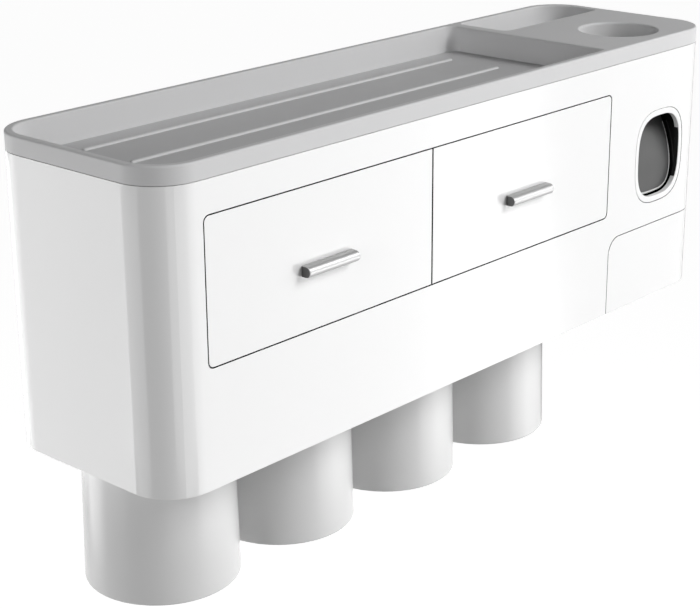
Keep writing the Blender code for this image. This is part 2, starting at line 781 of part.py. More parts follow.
def make_cup(number, x, finish, steel):
    mouth_z = CUP_TOP - CUP_HEIGHT

    def wall_at(z):
        share = (CUP_TOP - z) / CUP_HEIGHT
        return CUP_BASE_RADIUS + (CUP_MOUTH_RADIUS - CUP_BASE_RADIUS) * share

    pocket = MAGNET_RADIUS + REST_GAP
    pocket_floor = CUP_TOP - MAGNET_HEIGHT - 2 * REST_GAP
    boss = pocket + CUP_WALL
    ceiling = CUP_TOP - CUP_BASE
    profile = [(0, pocket_floor), (pocket, pocket_floor), (pocket, CUP_TOP)]
    profile += [
        (wall_at(CUP_TOP - CUP_EDGE) - CUP_EDGE * (1 - sine), CUP_TOP - CUP_EDGE * (1 - cosine))
        for sine, cosine in quarter()
    ]
    lip = CUP_WALL / 2
    outer, inner = wall_at(mouth_z), wall_at(mouth_z) - CUP_WALL
    profile += [(outer - lip * (1 - cosine), mouth_z + lip * (1 - sine)) for sine, cosine in quarter()]
    profile += [
        (inner + lip * (1 - cosine), mouth_z + lip * (1 - sine))
        for sine, cosine in reversed(quarter()[:-1])
    ]
    profile += [(wall_at(ceiling - CUP_EDGE) - CUP_WALL, ceiling - CUP_EDGE / 2)]
    profile += [(wall_at(ceiling) - CUP_WALL - CUP_EDGE / 2, ceiling), (boss, ceiling)]
    profile += [(boss, pocket_floor - CUP_BASE), (0, pocket_floor - CUP_BASE)]
    cup = piece(revolve(f"cup_{number}", profile, (x, CUP_Y), steps=CUP_STEPS), finish)
    magnet = round_bar(
        f"cup_magnet_{number}",
        (x, CUP_Y),
        MAGNET_RADIUS,
        pocket_floor + REST_GAP,
        pocket_floor + REST_GAP + MAGNET_HEIGHT,
        steps=SMALL_ROUND_STEPS,
    )
    hang_on(f"cup_{number}_axis", (x, CUP_Y, CUP_TOP), [cup, piece(magnet, steel)])


def make_ceiling_magnets(steel):
    low = CUP_TOP + 2 * REST_GAP
    for number, x in enumerate(cup_centres(), start=1):
        name = f"ceiling_magnet_{number}"
        piece(round_bar(name, (x, CUP_Y), MAGNET_RADIUS, low, low + MAGNET_HEIGHT), steel)


# The brush rack is a comb on an angle strip, bonded inside the front of the skirt.


def make_rack(finish):
    across = (LEFT + CORNER_RADIUS, BULKHEAD[0] - 2 * INNER_WALL)
    top = BOTTOM + RACK_ABOVE_BOTTOM
    foot = top - RACK_THICKNESS / 2
    rack = block("brush_rack", across, (RACK_FRONT, RACK_BACK), (top - RACK_THICKNESS, top))
    flange = block("flange", across, (RACK_FRONT, RACK_FRONT + RACK_THICKNESS), (foot, top + RACK_FLANGE))
    lip = block("lip", across, (RACK_BACK - RACK_THICKNESS, RACK_BACK), (foot, top + RACK_LIP))
    join(rack, flange, lip)
    centres = cup_centres()
    valleys = [(a + b) / 2 for a, b in zip(centres, centres[1:])]
    half = NOTCH_WIDTH / 2
    notch_y = (RACK_FRONT + RACK_SPINE, RACK_BACK + CUT_MARGIN)
    round_end = half - REST_GAP / 3
    notches = [
        prism(
            "notch",
            outline(x - half, x + half, *notch_y, (round_end, round_end, 0, 0)),
            top - 2 * RACK_THICKNESS,
            top + RACK_LIP + CUT_MARGIN,
        )
        for valley in valleys
        for x in (valley - NOTCH_OFFSET, valley + NOTCH_OFFSET)
    ]
    cut(rack, *notches)
    piece(rack, finish)


# Back panel, its screws, and the bracket that stays on the wall.


def hook_places():
    return -HOOK_SPACING / 2, HOOK_SPACING / 2


def make_back_panel(finish, steel):
    side = REAR_OPENING_MARGIN + SLIDE_GAP
    low, high = BOTTOM + SLIDE_GAP, at_z(-REAR_BAND) - SLIDE_GAP
    edges = outline(LEFT + side, RIGHT - side, low, high, (PANEL_RADIUS,) * 4)
    panel = prism("back_panel", edges, PANEL_FRONT, PANEL_BACK, "xz")
    through = (PANEL_FRONT - CUT_MARGIN, PANEL_BACK + CUT_MARGIN)
    half = HOOK_WIDTH / 2 + SLIDE_GAP
    slot_top = HOOK_Z + HOOK_NECK / 2 + REST_GAP
    slot_bottom = HOOK_Z - HOOK_NECK / 2 - LIFT_TRAVEL - SLIDE_GAP
    slots = [block("slot", (x - half, x + half), through, (slot_bottom, slot_top)) for x in hook_places()]
    holes = [screw_hole(x, z, *through) for x, z in panel_screw_places()]
    cut(panel, *slots, *holes)
    piece(panel, finish)
    length = PANEL + REST_GAP + PANEL_SCREW_DEPTH - 2 * REST_GAP
    for number, (x, z) in enumerate(panel_screw_places(), start=1):
        piece(screw(f"panel_screw_{number}", x, z, PANEL_BACK, length), steel)


def make_wall_bracket(finish, foam):
    plate_back = -PAD_THICKNESS - REST_GAP
    plate_front = plate_back - BRACKET_PLATE
    half = BRACKET_HEIGHT / 2
    plate = prism(
        "wall_bracket",
        outline(-BRACKET_WIDTH / 2, BRACKET_WIDTH / 2, -half, half, (BRACKET_RADIUS,) * 4),
        plate_front,
        plate_back,
        "xz",
    )
    lip_back = HOOK_FRONT + HOOK_LIP
    low = HOOK_Z - HOOK_NECK / 2
    high = HOOK_Z + HOOK_NECK / 2
    hook_outline = [
        (plate_front + BRACKET_PLATE / 2, low),
        (plate_front + BRACKET_PLATE / 2, high),
        (lip_back, high),
        (lip_back, high + HOOK_CATCH),
        (HOOK_FRONT + HOOK_LIP / 2, high + HOOK_CATCH),
        (HOOK_FRONT, high + HOOK_CATCH - HOOK_LIP),
        (HOOK_FRONT, low),
    ]
    hooks = [
        prism("hook", hook_outline, x - HOOK_WIDTH / 2, x + HOOK_WIDTH / 2, "yz")
        for x in hook_places()
    ]
    join(plate, *hooks)
    piece(plate, finish)
    for number in range(1, PAD_COUNT + 1):
        x = (number - (PAD_COUNT + 1) / 2) * PAD_PITCH
        edges = (x - PAD_WIDTH / 2, x + PAD_WIDTH / 2, -PAD_HEIGHT / 2, PAD_HEIGHT / 2)
        corners = outline(*edges, (BRACKET_RADIUS,) * 4)
        piece(prism(f"adhesive_pad_{number}", corners, -PAD_THICKNESS, 0.0, "xz"), foam)


# The toothpaste squeezer: tube seat, bellows pump, nozzle and push lever in a dark chamber.

CHAMBER_FRONT = FRONT + WALL + REST_GAP
FLANGE_FRONT = FRONT + WALL + FLANGE_SETBACK + REST_GAP
FLANGE_BACK = FLANGE_FRONT + CHAMBER_WALL
ROOF = CAVITY_HIGH + CHAMBER_WALL
SEAT_TOP = COLLAR_END - REST_GAP
TOWER_TOP = SEAT_TOP - SEAT_HEIGHT - REST_GAP
DISC_TOP = TOWER_TOP
DISC_LOW = DISC_TOP - DUCT_DISC
BELLOWS_TOP = DISC_LOW - REST_GAP
ARM_TOP = LEVER_PIN_Z + LEVER_HUB_RADIUS - REST_GAP
BELLOWS_LOW = ARM_TOP + REST_GAP


def make_chamber(finish, steel):
    half = MOUTH_HALF_WIDTH + REST_GAP
    wall = CHAMBER_WALL
    low, high = CHAMBER_RADIUS, CHAMBER_TOP_RADIUS
    back = CHAMBER_FRONT + CHAMBER_DEPTH
    corners = (low + wall, low + wall, high + wall, high + wall)
    outer = outline(DISPENSER - half - wall, DISPENSER + half + wall, CAVITY_LOW - wall, ROOF, corners)
    chamber = prism("dispenser_chamber", outer, CHAMBER_FRONT, back, "xz")
    flange_edges = outline(*flange_box(), (FLANGE_SCREW_INSET,) * 4)
    flange = prism("flange", flange_edges, FLANGE_FRONT, FLANGE_BACK, "xz")
    foot = CAVITY_HIGH + wall / 2
    tower = round_bar("tower", TUBE_AT, TOWER_RADIUS + wall, foot, TOWER_TOP, steps=PUMP_STEPS)
    rim = round_bar("rim", TUBE_AT, TOWER_RIM_RADIUS, TOWER_TOP - wall, TOWER_TOP, steps=PUMP_STEPS)
    join(chamber, flange, tower, rim)
    cavity = prism(
        "cavity",
        outline(DISPENSER - half, DISPENSER + half, CAVITY_LOW, CAVITY_HIGH, (low, low, high, high)),
        CHAMBER_FRONT - CUT_MARGIN,
        back - wall,
        "xz",
    )
    through_roof = (CAVITY_HIGH - wall, TOWER_TOP + CUT_MARGIN)
    well = round_bar("well", TUBE_AT, TOWER_RADIUS, *through_roof, steps=PUMP_STEPS)
    spout = NOZZLE_RADIUS + SLIDE_GAP
    nozzle_slot = block(
        "nozzle_slot",
        (DISPENSER - spout, DISPENSER + spout),
        (at_y(NOZZLE_Y) - spout, TUBE_AT[1] - DUCT_DISC_RADIUS),
        through_roof,
    )
    pin_hole = round_bar(
        "pin_hole",
        (at_y(LEVER_PIN_Y), LEVER_PIN_Z),
        LEVER_PIN_RADIUS + REST_GAP,
        DISPENSER - half - 2 * wall,
        DISPENSER + half + 2 * wall,
        "x",
    )
    holes = [
        screw_hole(x, z, FLANGE_FRONT - CUT_MARGIN, FLANGE_BACK + CUT_MARGIN)
        for x, z in flange_screw_places()
    ]
    cut(chamber, cavity, well, nozzle_slot, pin_hole, *holes)
    piece(chamber, finish)
    length = CHAMBER_WALL + FLANGE_SETBACK - REST_GAP
    for number, (x, z) in enumerate(flange_screw_places(), start=1):
        piece(screw(f"chamber_screw_{number}", x, z, FLANGE_BACK, length), steel)


def make_bezel(finish):
    half_width, half_height = WINDOW_HALF_WIDTH - FRONT_GAP, WINDOW_HALF_HEIGHT - FRONT_GAP
    edge = BEZEL_EDGE
    back = FRONT + WALL
    chamfered = squircle(DISPENSER, WINDOW_Z, half_width - edge / 2, half_height - edge / 2)
    full = squircle(DISPENSER, WINDOW_Z, half_width, half_height)
    bezel = loft("window_bezel", [(FRONT, chamfered), (FRONT + edge / 2, full), (back, full)], "xz")
    flared = squircle(DISPENSER, WINDOW_Z, MOUTH_HALF_WIDTH + edge, MOUTH_HALF_HEIGHT + edge)
    narrow = squircle(DISPENSER, WINDOW_Z, MOUTH_HALF_WIDTH, MOUTH_HALF_HEIGHT)
    mouth = [
        (FRONT - CUT_MARGIN, flared),
        (FRONT, flared),
        (FRONT + edge, narrow),
        (back + CUT_MARGIN, narrow),
    ]
    cut(bezel, loft("mouth", mouth, "xz"))
    piece(bezel, finish)


def lever_profile():
    """Side view of the push plate: straight at the foot, then an arc that leans back to the pin."""
    face = at_y(LEVER_FACE_Y)
    foot = MOUTH_BOTTOM + LEVER_SIDE_GAP / 2
    bend = foot + LEVER_STRAIGHT
    top = LEVER_PIN_Z
    front, back = [(face, foot)], [(face + LEVER_PLATE, foot)]
    for step in range(BIG_STEPS + 1):
        z = bend + (top - bend) * step / BIG_STEPS
        lean = LEVER_ARC - math.sqrt(LEVER_ARC**2 - (z - bend) ** 2)
        front.append((face + lean, z))
        back.append((face + LEVER_PLATE + lean, z))
    return front + list(reversed(back))


def make_lever(finish, steel):
    half = MOUTH_HALF_WIDTH - LEVER_SIDE_GAP
    pin_y = at_y(LEVER_PIN_Y)
    lever = prism("push_lever", lever_profile(), DISPENSER - half, DISPENSER + half, "yz")
    low_half = MOUTH_HALF_HEIGHT - LEVER_SIDE_GAP / 2
    tongue = [point for point in squircle(DISPENSER, WINDOW_Z, half, low_half) if point[1] < WINDOW_Z]
    tall = CUT_MARGIN + MOUTH_HALF_HEIGHT
    tongue += [(DISPENSER + half, WINDOW_Z + tall), (DISPENSER - half, WINDOW_Z + tall)]
    combine(lever, "INTERSECT", [prism("tongue", tongue, FRONT, FRONT + CHAMBER_DEPTH, "xz")])
    hub = round_bar("hub", (pin_y, LEVER_PIN_Z), LEVER_HUB_RADIUS, DISPENSER - half, DISPENSER + half, "x")
    arm_x = (DISPENSER - LEVER_ARM_WIDTH / 2, DISPENSER + LEVER_ARM_WIDTH / 2)
    arm_z = (ARM_TOP - LEVER_PLATE, ARM_TOP)
    arm = block("arm", arm_x, (pin_y, TUBE_AT[1]), arm_z)
    pad = round_bar("pad", TUBE_AT, LEVER_PAD_RADIUS, *arm_z, steps=PUMP_STEPS)
    join(lever, hub, arm, pad)
    bore = round_bar(
        "bore",
        (pin_y, LEVER_PIN_Z),
        LEVER_PIN_RADIUS + REST_GAP,
        DISPENSER - half - CUT_MARGIN,
        DISPENSER + half + CUT_MARGIN,
        "x",
    )
    cut(lever, bore)
    piece(lever, finish)
    hang_on("lever_axis", (DISPENSER, pin_y, LEVER_PIN_Z), [lever])
    reach = MOUTH_HALF_WIDTH + REST_GAP + CHAMBER_WALL
    pin_ends = (DISPENSER - reach, DISPENSER + reach)
    piece(round_bar("lever_pin", (pin_y, LEVER_PIN_Z), LEVER_PIN_RADIUS, *pin_ends, "x"), steel)


def make_pump(silicone, clear):
    seat = [
        (SEAT_NECK_RADIUS, SEAT_TOP - SEAT_HEIGHT),
        (TOWER_RIM_RADIUS, SEAT_TOP - SEAT_HEIGHT),
        (TOWER_RIM_RADIUS, SEAT_TOP),
        (SEAT_MOUTH_RADIUS, SEAT_TOP),
        (SEAT_NECK_RADIUS + COLLAR_WALL, SEAT_TOP - SEAT_HEIGHT + COLLAR_WALL),
        (SEAT_NECK_RADIUS, SEAT_TOP - SEAT_HEIGHT + COLLAR_WALL),
    ]
    piece(revolve("tube_seat", seat, TUBE_AT, closed=True, steps=PUMP_STEPS), silicone)

    count = 2 * BELLOWS_FOLDS
    heights = [BELLOWS_TOP + (BELLOWS_LOW - BELLOWS_TOP) * k / count for k in range(count + 1)]
    radii = [BELLOWS_VALLEY if k % 2 == 0 else BELLOWS_RADIUS for k in range(count + 1)]
    outside = list(zip(radii, heights))
    inside = [(radius - BELLOWS_WALL, height) for radius, height in outside[:-1]]
    inside.append((outside[-1][0] - BELLOWS_WALL, BELLOWS_LOW + BELLOWS_WALL))
    profile = [*outside, (0, BELLOWS_LOW), (0, BELLOWS_LOW + BELLOWS_WALL), *reversed(inside)]
    piece(revolve("pump_bellows", profile, TUBE_AT, closed=True, steps=PUMP_STEPS), silicone)

    inner, outer = SEAT_NECK_RADIUS, DUCT_DISC_RADIUS
    ring = [(inner, DISC_LOW), (outer, DISC_LOW), (outer, DISC_TOP), (inner, DISC_TOP)]
    nozzle = revolve("paste_nozzle", ring, TUBE_AT, closed=True, steps=PUMP_STEPS)
    nozzle_y = at_y(NOZZLE_Y)
    duct_at = (DISPENSER, (DISC_LOW + DISC_TOP) / 2)
    drop_at = (DISPENSER, nozzle_y)
    duct_half = DUCT_DISC / 2 - REST_GAP
    tip = MOUTH_TOP + NOZZLE_TIP_ROOM
    duct = round_bar("duct", duct_at, duct_half, nozzle_y, TUBE_AT[1] - (outer + inner) / 2, "y")
    drop = round_bar("drop", drop_at, NOZZLE_RADIUS, tip, duct_at[1] + duct_half)
    join(nozzle, duct, drop)
    bore_end = TUBE_AT[1] - inner + REST_GAP
    duct_bore = round_bar("duct_bore", duct_at, NOZZLE_BORE, nozzle_y, bore_end, "y", SCREW_STEPS)
    bore_low = tip - CUT_MARGIN
    drop_bore = round_bar("drop_bore", drop_at, NOZZLE_BORE, bore_low, duct_at[1], steps=SCREW_STEPS)
    cut(nozzle, duct_bore, drop_bore)
    piece(nozzle, clear)


# The cover wraps the front right corner under the squeezer and pulls off downwards.


def make_cover(finish):
    cover = prism("dispenser_cover", body_outline(), BOTTOM, COVER_TOP + CUT_MARGIN)
    cut(cover, prism("hollow", body_outline(WALL), BOTTOM - CUT_MARGIN, COVER_TOP + 2 * CUT_MARGIN))
    combine(cover, "INTERSECT", [cover_cutter(COVER_SEAM)])
    inner = WALL + REST_GAP
    floor = prism(
        "floor",
        outline(
            COVER_LEFT + COVER_SEAM,
            RIGHT - inner,
            FRONT + WALL / 2,
            FRAME_FRONT - SLIDE_GAP,
            (0, CORNER_RADIUS - WALL, 0, 0),
        ),
        BOTTOM,
        BOTTOM + INNER_WALL,
    )
    through = (BOTTOM - CUT_MARGIN, BOTTOM + CUT_MARGIN)
    rear_corner = prism("rear_corner", body_outline(inner), *through)
    near = block("near", (LEFT, RIGHT), (FRONT - CUT_MARGIN, COVER_BACK - WALL), through)
    combine(floor, "INTERSECT", [join(rear_corner, near)])
    skirt = block(
        "skirt",
        (RIGHT - WALL - REST_GAP / 2 - WALL / 2, RIGHT - WALL / 2),
        (FRONT + CORNER_RADIUS, COVER_BACK - WALL),
        (BOTTOM, BOTTOM + INNER_WALL),
    )
    half = TONGUE_LENGTH / 2
    tongue_x = (DISPENSER - half, DISPENSER + half)
    tongue_y = (CUP_Y - half, CUP_Y + half)
    tongue_z = (COVER_TOP - TONGUE_RISE, COVER_TOP + TONGUE_RISE)
    root_z = (COVER_TOP - TONGUE_RISE, COVER_TOP - 2 * COVER_SEAM)
    front_y = FRONT + inner
    side_x = RIGHT - inner
    front_tongue = block("front_tongue", tongue_x, (front_y, front_y + TONGUE_THICKNESS), tongue_z)
    front_root = block("front_root", tongue_x, (FRONT + WALL / 2, front_y + TONGUE_THICKNESS / 2), root_z)
    side_tongue = block("side_tongue", (side_x - TONGUE_THICKNESS, side_x), tongue_y, tongue_z)
    side_root = block("side_root", (side_x - TONGUE_THICKNESS / 2, RIGHT - WALL / 2), tongue_y, root_z)
    join(cover, floor, skirt, front_tongue, front_root, side_tongue, side_root)
    piece(cover, finish)


def make_holder():
    white = material("gloss_white", (0.93, 0.93, 0.93), 0.16)
    grey = material("matte_grey", (0.64, 0.64, 0.645), 0.55)
    inner_white = material("moulded_white", (0.88, 0.88, 0.88), 0.4)
    cup_white = material("satin_cup", (0.90, 0.90, 0.90), 0.45)
    silver = material("satin_silver", (0.72, 0.72, 0.72), 0.3, 0.9)
    steel = material("plated_steel", (0.62, 0.62, 0.62), 0.3, 1.0)
    black = material("gloss_black", (0.01, 0.01, 0.01), 0.08)
    dark = material("dark_grey", (0.13, 0.13, 0.13), 0.4)
    silicone = material("silicone", (0.75, 0.75, 0.74), 0.6)
    clear = material("natural_plastic", (0.85, 0.85, 0.83), 0.35)
    foam = material("foam_tape", (0.2, 0.2, 0.2), 0.9)

    make_wall_bracket(inner_white, foam)
    make_housing(white)
    make_back_panel(inner_white, steel)
    make_tray(grey)
    for side in ("left", "right"):
        make_drawer(side, white, inner_white, silver, steel)
    make_ceiling_magnets(steel)
    for number, x in enumerate(cup_centres(), start=1):
        make_cup(number, x, cup_white, steel)
    make_rack(inner_white)
    make_chamber(black, steel)
    make_bezel(white)
    make_lever(dark, steel)
    make_pump(silicone, clear)
    make_cover(white)


clear_scene()
make_holder()
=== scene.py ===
"""Finishes and lights the wall-hung toothbrush holder: drawers, cups, brush rack and paste squeezer.

Metres, +Z up. The wall is behind the holder at Y = 0, and +X runs to the right of someone who
faces it. Each section makes one piece or one group of like pieces, in the order of assembly.
"""

import math

import bmesh
import bpy
import numpy as np
from mathutils import Matrix, Vector


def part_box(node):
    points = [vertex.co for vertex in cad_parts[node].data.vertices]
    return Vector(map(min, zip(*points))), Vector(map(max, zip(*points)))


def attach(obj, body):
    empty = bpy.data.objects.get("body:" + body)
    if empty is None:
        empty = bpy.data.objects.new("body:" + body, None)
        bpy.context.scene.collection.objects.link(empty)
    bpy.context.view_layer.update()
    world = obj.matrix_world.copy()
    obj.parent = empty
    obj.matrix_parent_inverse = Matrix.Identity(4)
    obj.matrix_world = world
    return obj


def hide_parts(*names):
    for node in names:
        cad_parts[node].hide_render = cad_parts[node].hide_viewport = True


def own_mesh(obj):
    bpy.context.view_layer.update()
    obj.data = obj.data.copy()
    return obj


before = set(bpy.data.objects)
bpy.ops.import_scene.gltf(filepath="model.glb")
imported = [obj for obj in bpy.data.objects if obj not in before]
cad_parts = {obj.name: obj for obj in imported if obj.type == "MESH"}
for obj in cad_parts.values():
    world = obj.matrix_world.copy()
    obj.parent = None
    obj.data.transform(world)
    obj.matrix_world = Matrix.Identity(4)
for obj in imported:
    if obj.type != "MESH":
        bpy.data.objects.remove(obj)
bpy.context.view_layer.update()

# Wall bracket and its tape
# A plain moulded plate with two upturned hooks. Three pads of double-sided foam tape hold it on
# the wall, and the holder's back panel slides down over the hooks.

MM = 0.001
MERGE_DISTANCE = 0.001 * MM
SHARP_DEGREES = 35.0
ROUNDED_DEGREES = 40.0
FLAT_DEGREES = 0.4
DRIFT_SIZE = 45 * MM
SMUDGE_SIZE = 11 * MM
BRACKET_EDGE = 0.4 * MM
PAD_EDGE = 0.15 * MM
WHITE_MOULDING = (0.88, 0.88, 0.88)
TAPE_GREY = (0.2, 0.2, 0.2)


class Wire:
    """A value in a shader tree; sums and products of wires add the Math nodes that work them out."""

    def __init__(self, tree, socket=None):
        self.tree = tree
        self.socket = socket

    def node(self, kind, settings=None, inputs=None, output=0):
        """Adds a node, with its settings first and then a number, colour or wire for its sockets."""
        made = self.tree.nodes.new(kind)
        for name, value in (settings or {}).items():
            setattr(made, name, value)
        for key, value in (inputs or {}).items():
            if isinstance(value, Wire):
                self.tree.links.new(value.socket, made.inputs[key])
            else:
                made.inputs[key].default_value = value
        return Wire(self.tree, made.outputs[output])

    def maths(self, operation, first, second):
        return self.node("ShaderNodeMath", {"operation": operation}, {0: first, 1: second})

    def __add__(self, other):
        return self.maths("ADD", self, other)

    def __mul__(self, other):
        return self.maths("MULTIPLY", self, other)

    __radd__ = __add__

    def into(self, shader, socket):
        self.tree.links.new(self.socket, shader.inputs[socket])


def bare_finish(name, colour, roughness, sockets):
    """A new material, its shader, and the Object coordinates that its patterns are laid out in."""
    made = bpy.data.materials.new(name)
    made.use_nodes = True
    shader = made.node_tree.nodes["Principled BSDF"]
    shader.inputs["Base Color"].default_value = (*colour, 1.0)
    shader.inputs["Roughness"].default_value = roughness
    for socket, value in sockets.items():
        shader.inputs[socket].default_value = value
    place = Wire(made.node_tree).node("ShaderNodeTexCoord", output="Object")
    return made, shader, place


def noise(place, size, detail=2.0):
    """Cloudy values from 0 to 1 whose blotches are about that many metres wide."""
    return place.node("ShaderNodeTexNoise", {}, {"Vector": place, "Scale": 1.0 / size, "Detail": detail})


def mix(share, low, high):
    """The colour that lies that share of the way from one colour to another; both may be wires."""
    low, high = (value if isinstance(value, Wire) else (*value, 1.0) for value in (low, high))
    settings, inputs = {"data_type": "RGBA"}, {"Factor": share, 6: low, 7: high}
    return share.node("ShaderNodeMix", settings, inputs, output=2)


def raise_surface(shader, height, depth):
    """Feeds the normal with a bump whose height of 1 stands that many metres proud."""
    bump = height.node("ShaderNodeBump", {}, {"Height": height, "Distance": depth}, "Normal")
    bump.into(shader, "Normal")


def marked_in(place, colours, marked):
    """The colours, but another colour on the faces that the piece has marked."""
    marks = place.node("ShaderNodeAttribute", {"attribute_name": "marked"}, output="Fac")
    return mix(marks, colours, marked)


def plastic(name, colour, roughness, grain, depth, drift=0.012, wear=0.18, marked=None, sockets=None):
    """Moulded plastic: a grain of that width and depth left by the mould, over a colour and a gloss
    that drift a little across the piece; wear is the share by which the roughness drifts. Marked
    faces take the marked colour, which on some pieces is painted shade or a painted highlight."""
    made, shader, place = bare_finish(name, colour, roughness, sockets or {})
    low = [value * (1 - drift) for value in colour]
    high = [min(value * (1 + drift), 1.0) for value in colour]
    colours = mix(noise(place, DRIFT_SIZE, 4.0), low, high)
    if marked:
        colours = marked_in(place, colours, marked)
    colours.into(shader, "Base Color")
    smudges = noise(place, SMUDGE_SIZE, 3.0)
    (roughness * (1 - wear) + smudges * (2 * wear * roughness)).into(shader, "Roughness")
    raise_surface(shader, noise(place, grain), depth)
    return made


def settled(name, work):
    """Turns a bmesh into a smooth-shaded object at the world's origin with its faces outwards."""
    bmesh.ops.remove_doubles(work, verts=work.verts, dist=MERGE_DISTANCE)
    bmesh.ops.recalc_face_normals(work, faces=work.faces)
    mesh = bpy.data.meshes.new(name)
    work.to_mesh(mesh)
    work.free()
    mesh.shade_smooth()
    mesh.set_sharp_from_angle(angle=math.radians(SHARP_DEGREES))
    made = bpy.data.objects.new(name, mesh)
    bpy.context.scene.collection.objects.link(made)
    return made


def soften(piece, edge):
    """Rounds a piece's edges and keeps the shading of its flat faces flat."""
    if edge:
        bevel = piece.modifiers.new("rounded_edges", "BEVEL")
        bevel.width = edge
        bevel.segments = 3
        bevel.limit_method = "ANGLE"
        bevel.angle_limit = math.radians(ROUNDED_DEGREES)
    even = piece.modifiers.new("even_shading", "WEIGHTED_NORMAL")
    even.keep_sharp = True
    return piece


def merged_copy(node, name, edge):
    """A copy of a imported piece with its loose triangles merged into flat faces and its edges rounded."""
    work = bmesh.new()
    work.from_mesh(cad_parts[node].data)
    bmesh.ops.remove_doubles(work, verts=work.verts, dist=MERGE_DISTANCE)
    flat = math.radians(FLAT_DEGREES)
    bmesh.ops.dissolve_limit(work, angle_limit=flat, verts=work.verts, edges=work.edges)
    return soften(settled(name, work), edge)


def stands_for(piece, node, body, finish):
    """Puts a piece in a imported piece's stead: it moves with that body and has that slot's finish."""
    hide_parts(node)
    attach(piece, body)
    piece.data.materials.clear()
    piece.data.materials.append(finish)


moulded_white = plastic("moulded_white", WHITE_MOULDING, 0.42, grain=0.5 * MM, depth=0.012 * MM)
foam_tape = plastic("foam_tape", TAPE_GREY, 0.9, grain=0.35 * MM, depth=0.12 * MM, drift=0.1)

bracket = merged_copy("wall_bracket", "wall_bracket_moulding", BRACKET_EDGE)
stands_for(bracket, "wall_bracket", "wall_mount", moulded_white)
for number in (1, 2, 3):
    node = f"adhesive_pad_{number}"
    pad = merged_copy(node, f"foam_pad_{number}", PAD_EDGE)
    stands_for(pad, node, "wall_mount", foam_tape)

# Housing
# The moulded body that carries everything: a tall rounded shell of white high-gloss plastic with
# a shelf under the drawers, a wall beside them and a ledge behind for the back panel.

HOUSING_EDGE = 0.15 * MM
BODY_CORNER = 21.2 * MM
BODY_WHITE = (0.89, 0.89, 0.89)
# Near black that paints shade into the seams round the drawers, the cover and the window.
SEAM_PAINTED_SHADE = (0.015, 0.015, 0.015)
SEAM_DEPTH = 2.5 * MM
SEAM_REACH = 1.5 * MM


def split_behind_front(piece):
    """Cuts the faces of a piece along the plane where the painted shade of a seam ends."""
    work = bmesh.new()
    work.from_mesh(piece.data)
    parts = [*work.verts, *work.edges, *work.faces]
    place = (0.0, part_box("housing")[0].y + SEAM_DEPTH, 0.0)
    bmesh.ops.bisect_plane(work, geom=parts, plane_co=place, plane_no=(0.0, 1.0, 0.0))
    work.to_mesh(piece.data)
    work.free()


def mark(piece, rule):
    """Marks the faces for which a rule of all their middles and normals holds."""
    count = len(piece.data.polygons)
    middles, normals = np.empty(3 * count), np.empty(3 * count)
    piece.data.polygons.foreach_get("center", middles)
    piece.data.polygons.foreach_get("normal", normals)
    marks = piece.data.attributes.new("marked", "FLOAT", "FACE")
    marks.data.foreach_set("value", rule(middles.reshape(-1, 3), normals.reshape(-1, 3)).astype(float))


def in_painted_seam_shade(*nodes):
    """Rule for the painted shade in a seam: faces just behind the front that look across the seam
    round those nodes, near the nodes' boxes, less the lower and the right edge of the holder."""
    boxes = [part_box(node) for node in nodes]
    low = np.min([box[0] for box in boxes], axis=0) - SEAM_REACH
    high = np.max([box[1] for box in boxes], axis=0) + SEAM_REACH
    body_low, body_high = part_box("housing")
    low[1], high[1] = body_low.y, body_low.y + SEAM_DEPTH
    low[2] = max(low[2], body_low.z + SEAM_REACH)
    high[0] = min(high[0], body_high.x - BODY_CORNER)
    return lambda middles, normals: (
        np.all((middles > low) & (middles < high), axis=1) & (np.abs(normals[:, 1]) < 0.5)
    )


# Its marked faces in the seams are painted near black: painted shade.
gloss_white = plastic(
    "gloss_white",
    BODY_WHITE,
    0.1,
    grain=1.4 * MM,
    depth=0.0035 * MM,
    drift=0.006,
    marked=SEAM_PAINTED_SHADE,
)

housing = merged_copy("housing", "housing_moulding", HOUSING_EDGE)
split_behind_front(housing)
# Faces in the seams round the drawers, the cover and the window get painted shade.
drawer_seam_shade = in_painted_seam_shade("drawer_front_left", "drawer_front_right")
cover_seam_shade = in_painted_seam_shade("dispenser_cover")
window_seam_shade = in_painted_seam_shade("window_bezel")
mark(housing, lambda *faces: drawer_seam_shade(*faces) | cover_seam_shade(*faces) | window_seam_shade(*faces))
stands_for(housing, "housing", "holder", gloss_white)

# Back panel and its screws
# A flat moulded panel with two tall slots that drop over the wall hooks. Six plated pan-head
# screws with a cross recess go through it into the housing's bosses.

PANEL_EDGE = 0.4 * MM
STEEL = (0.62, 0.62, 0.62)
SCREW_RINGS = 22
SCREW_SPOKES = 48
HEAD_RADIUS = 2.8 * MM
HEAD_RISE = 1.6 * MM
HEAD_CROWN = 0.7 * MM
HEAD_EDGE = 0.2 * MM
HEAD_FOOT = 0.1 * MM
SHANK_RADIUS = 1.3 * MM
SHANK_TIP = 0.5 * MM
PLATING_RIPPLE = 0.004 * MM
CROSS_FADE = 1.4
CROSS_REACH = 1.75 * MM
CROSS_WIDTH = 0.42 * MM
CROSS_DEPTH = 1.0 * MM
CROSS_SLOPE = 0.16 * MM


def plated(name, colour, roughness, grain):
    """Plated steel: the gloss drifts in fine blotches and the plating has a faint ripple."""
    made, shader, place = bare_finish(name, colour, roughness, {"Metallic": 1.0})
    blotches = noise(place, grain, 4.0)
    (roughness * 0.7 + blotches * (0.6 * roughness)).into(shader, "Roughness")
    mix(noise(place, 6 * grain), [value * 0.94 for value in colour], colour).into(shader, "Base Color")
    raise_surface(shader, blotches, PLATING_RIPPLE)
    return made


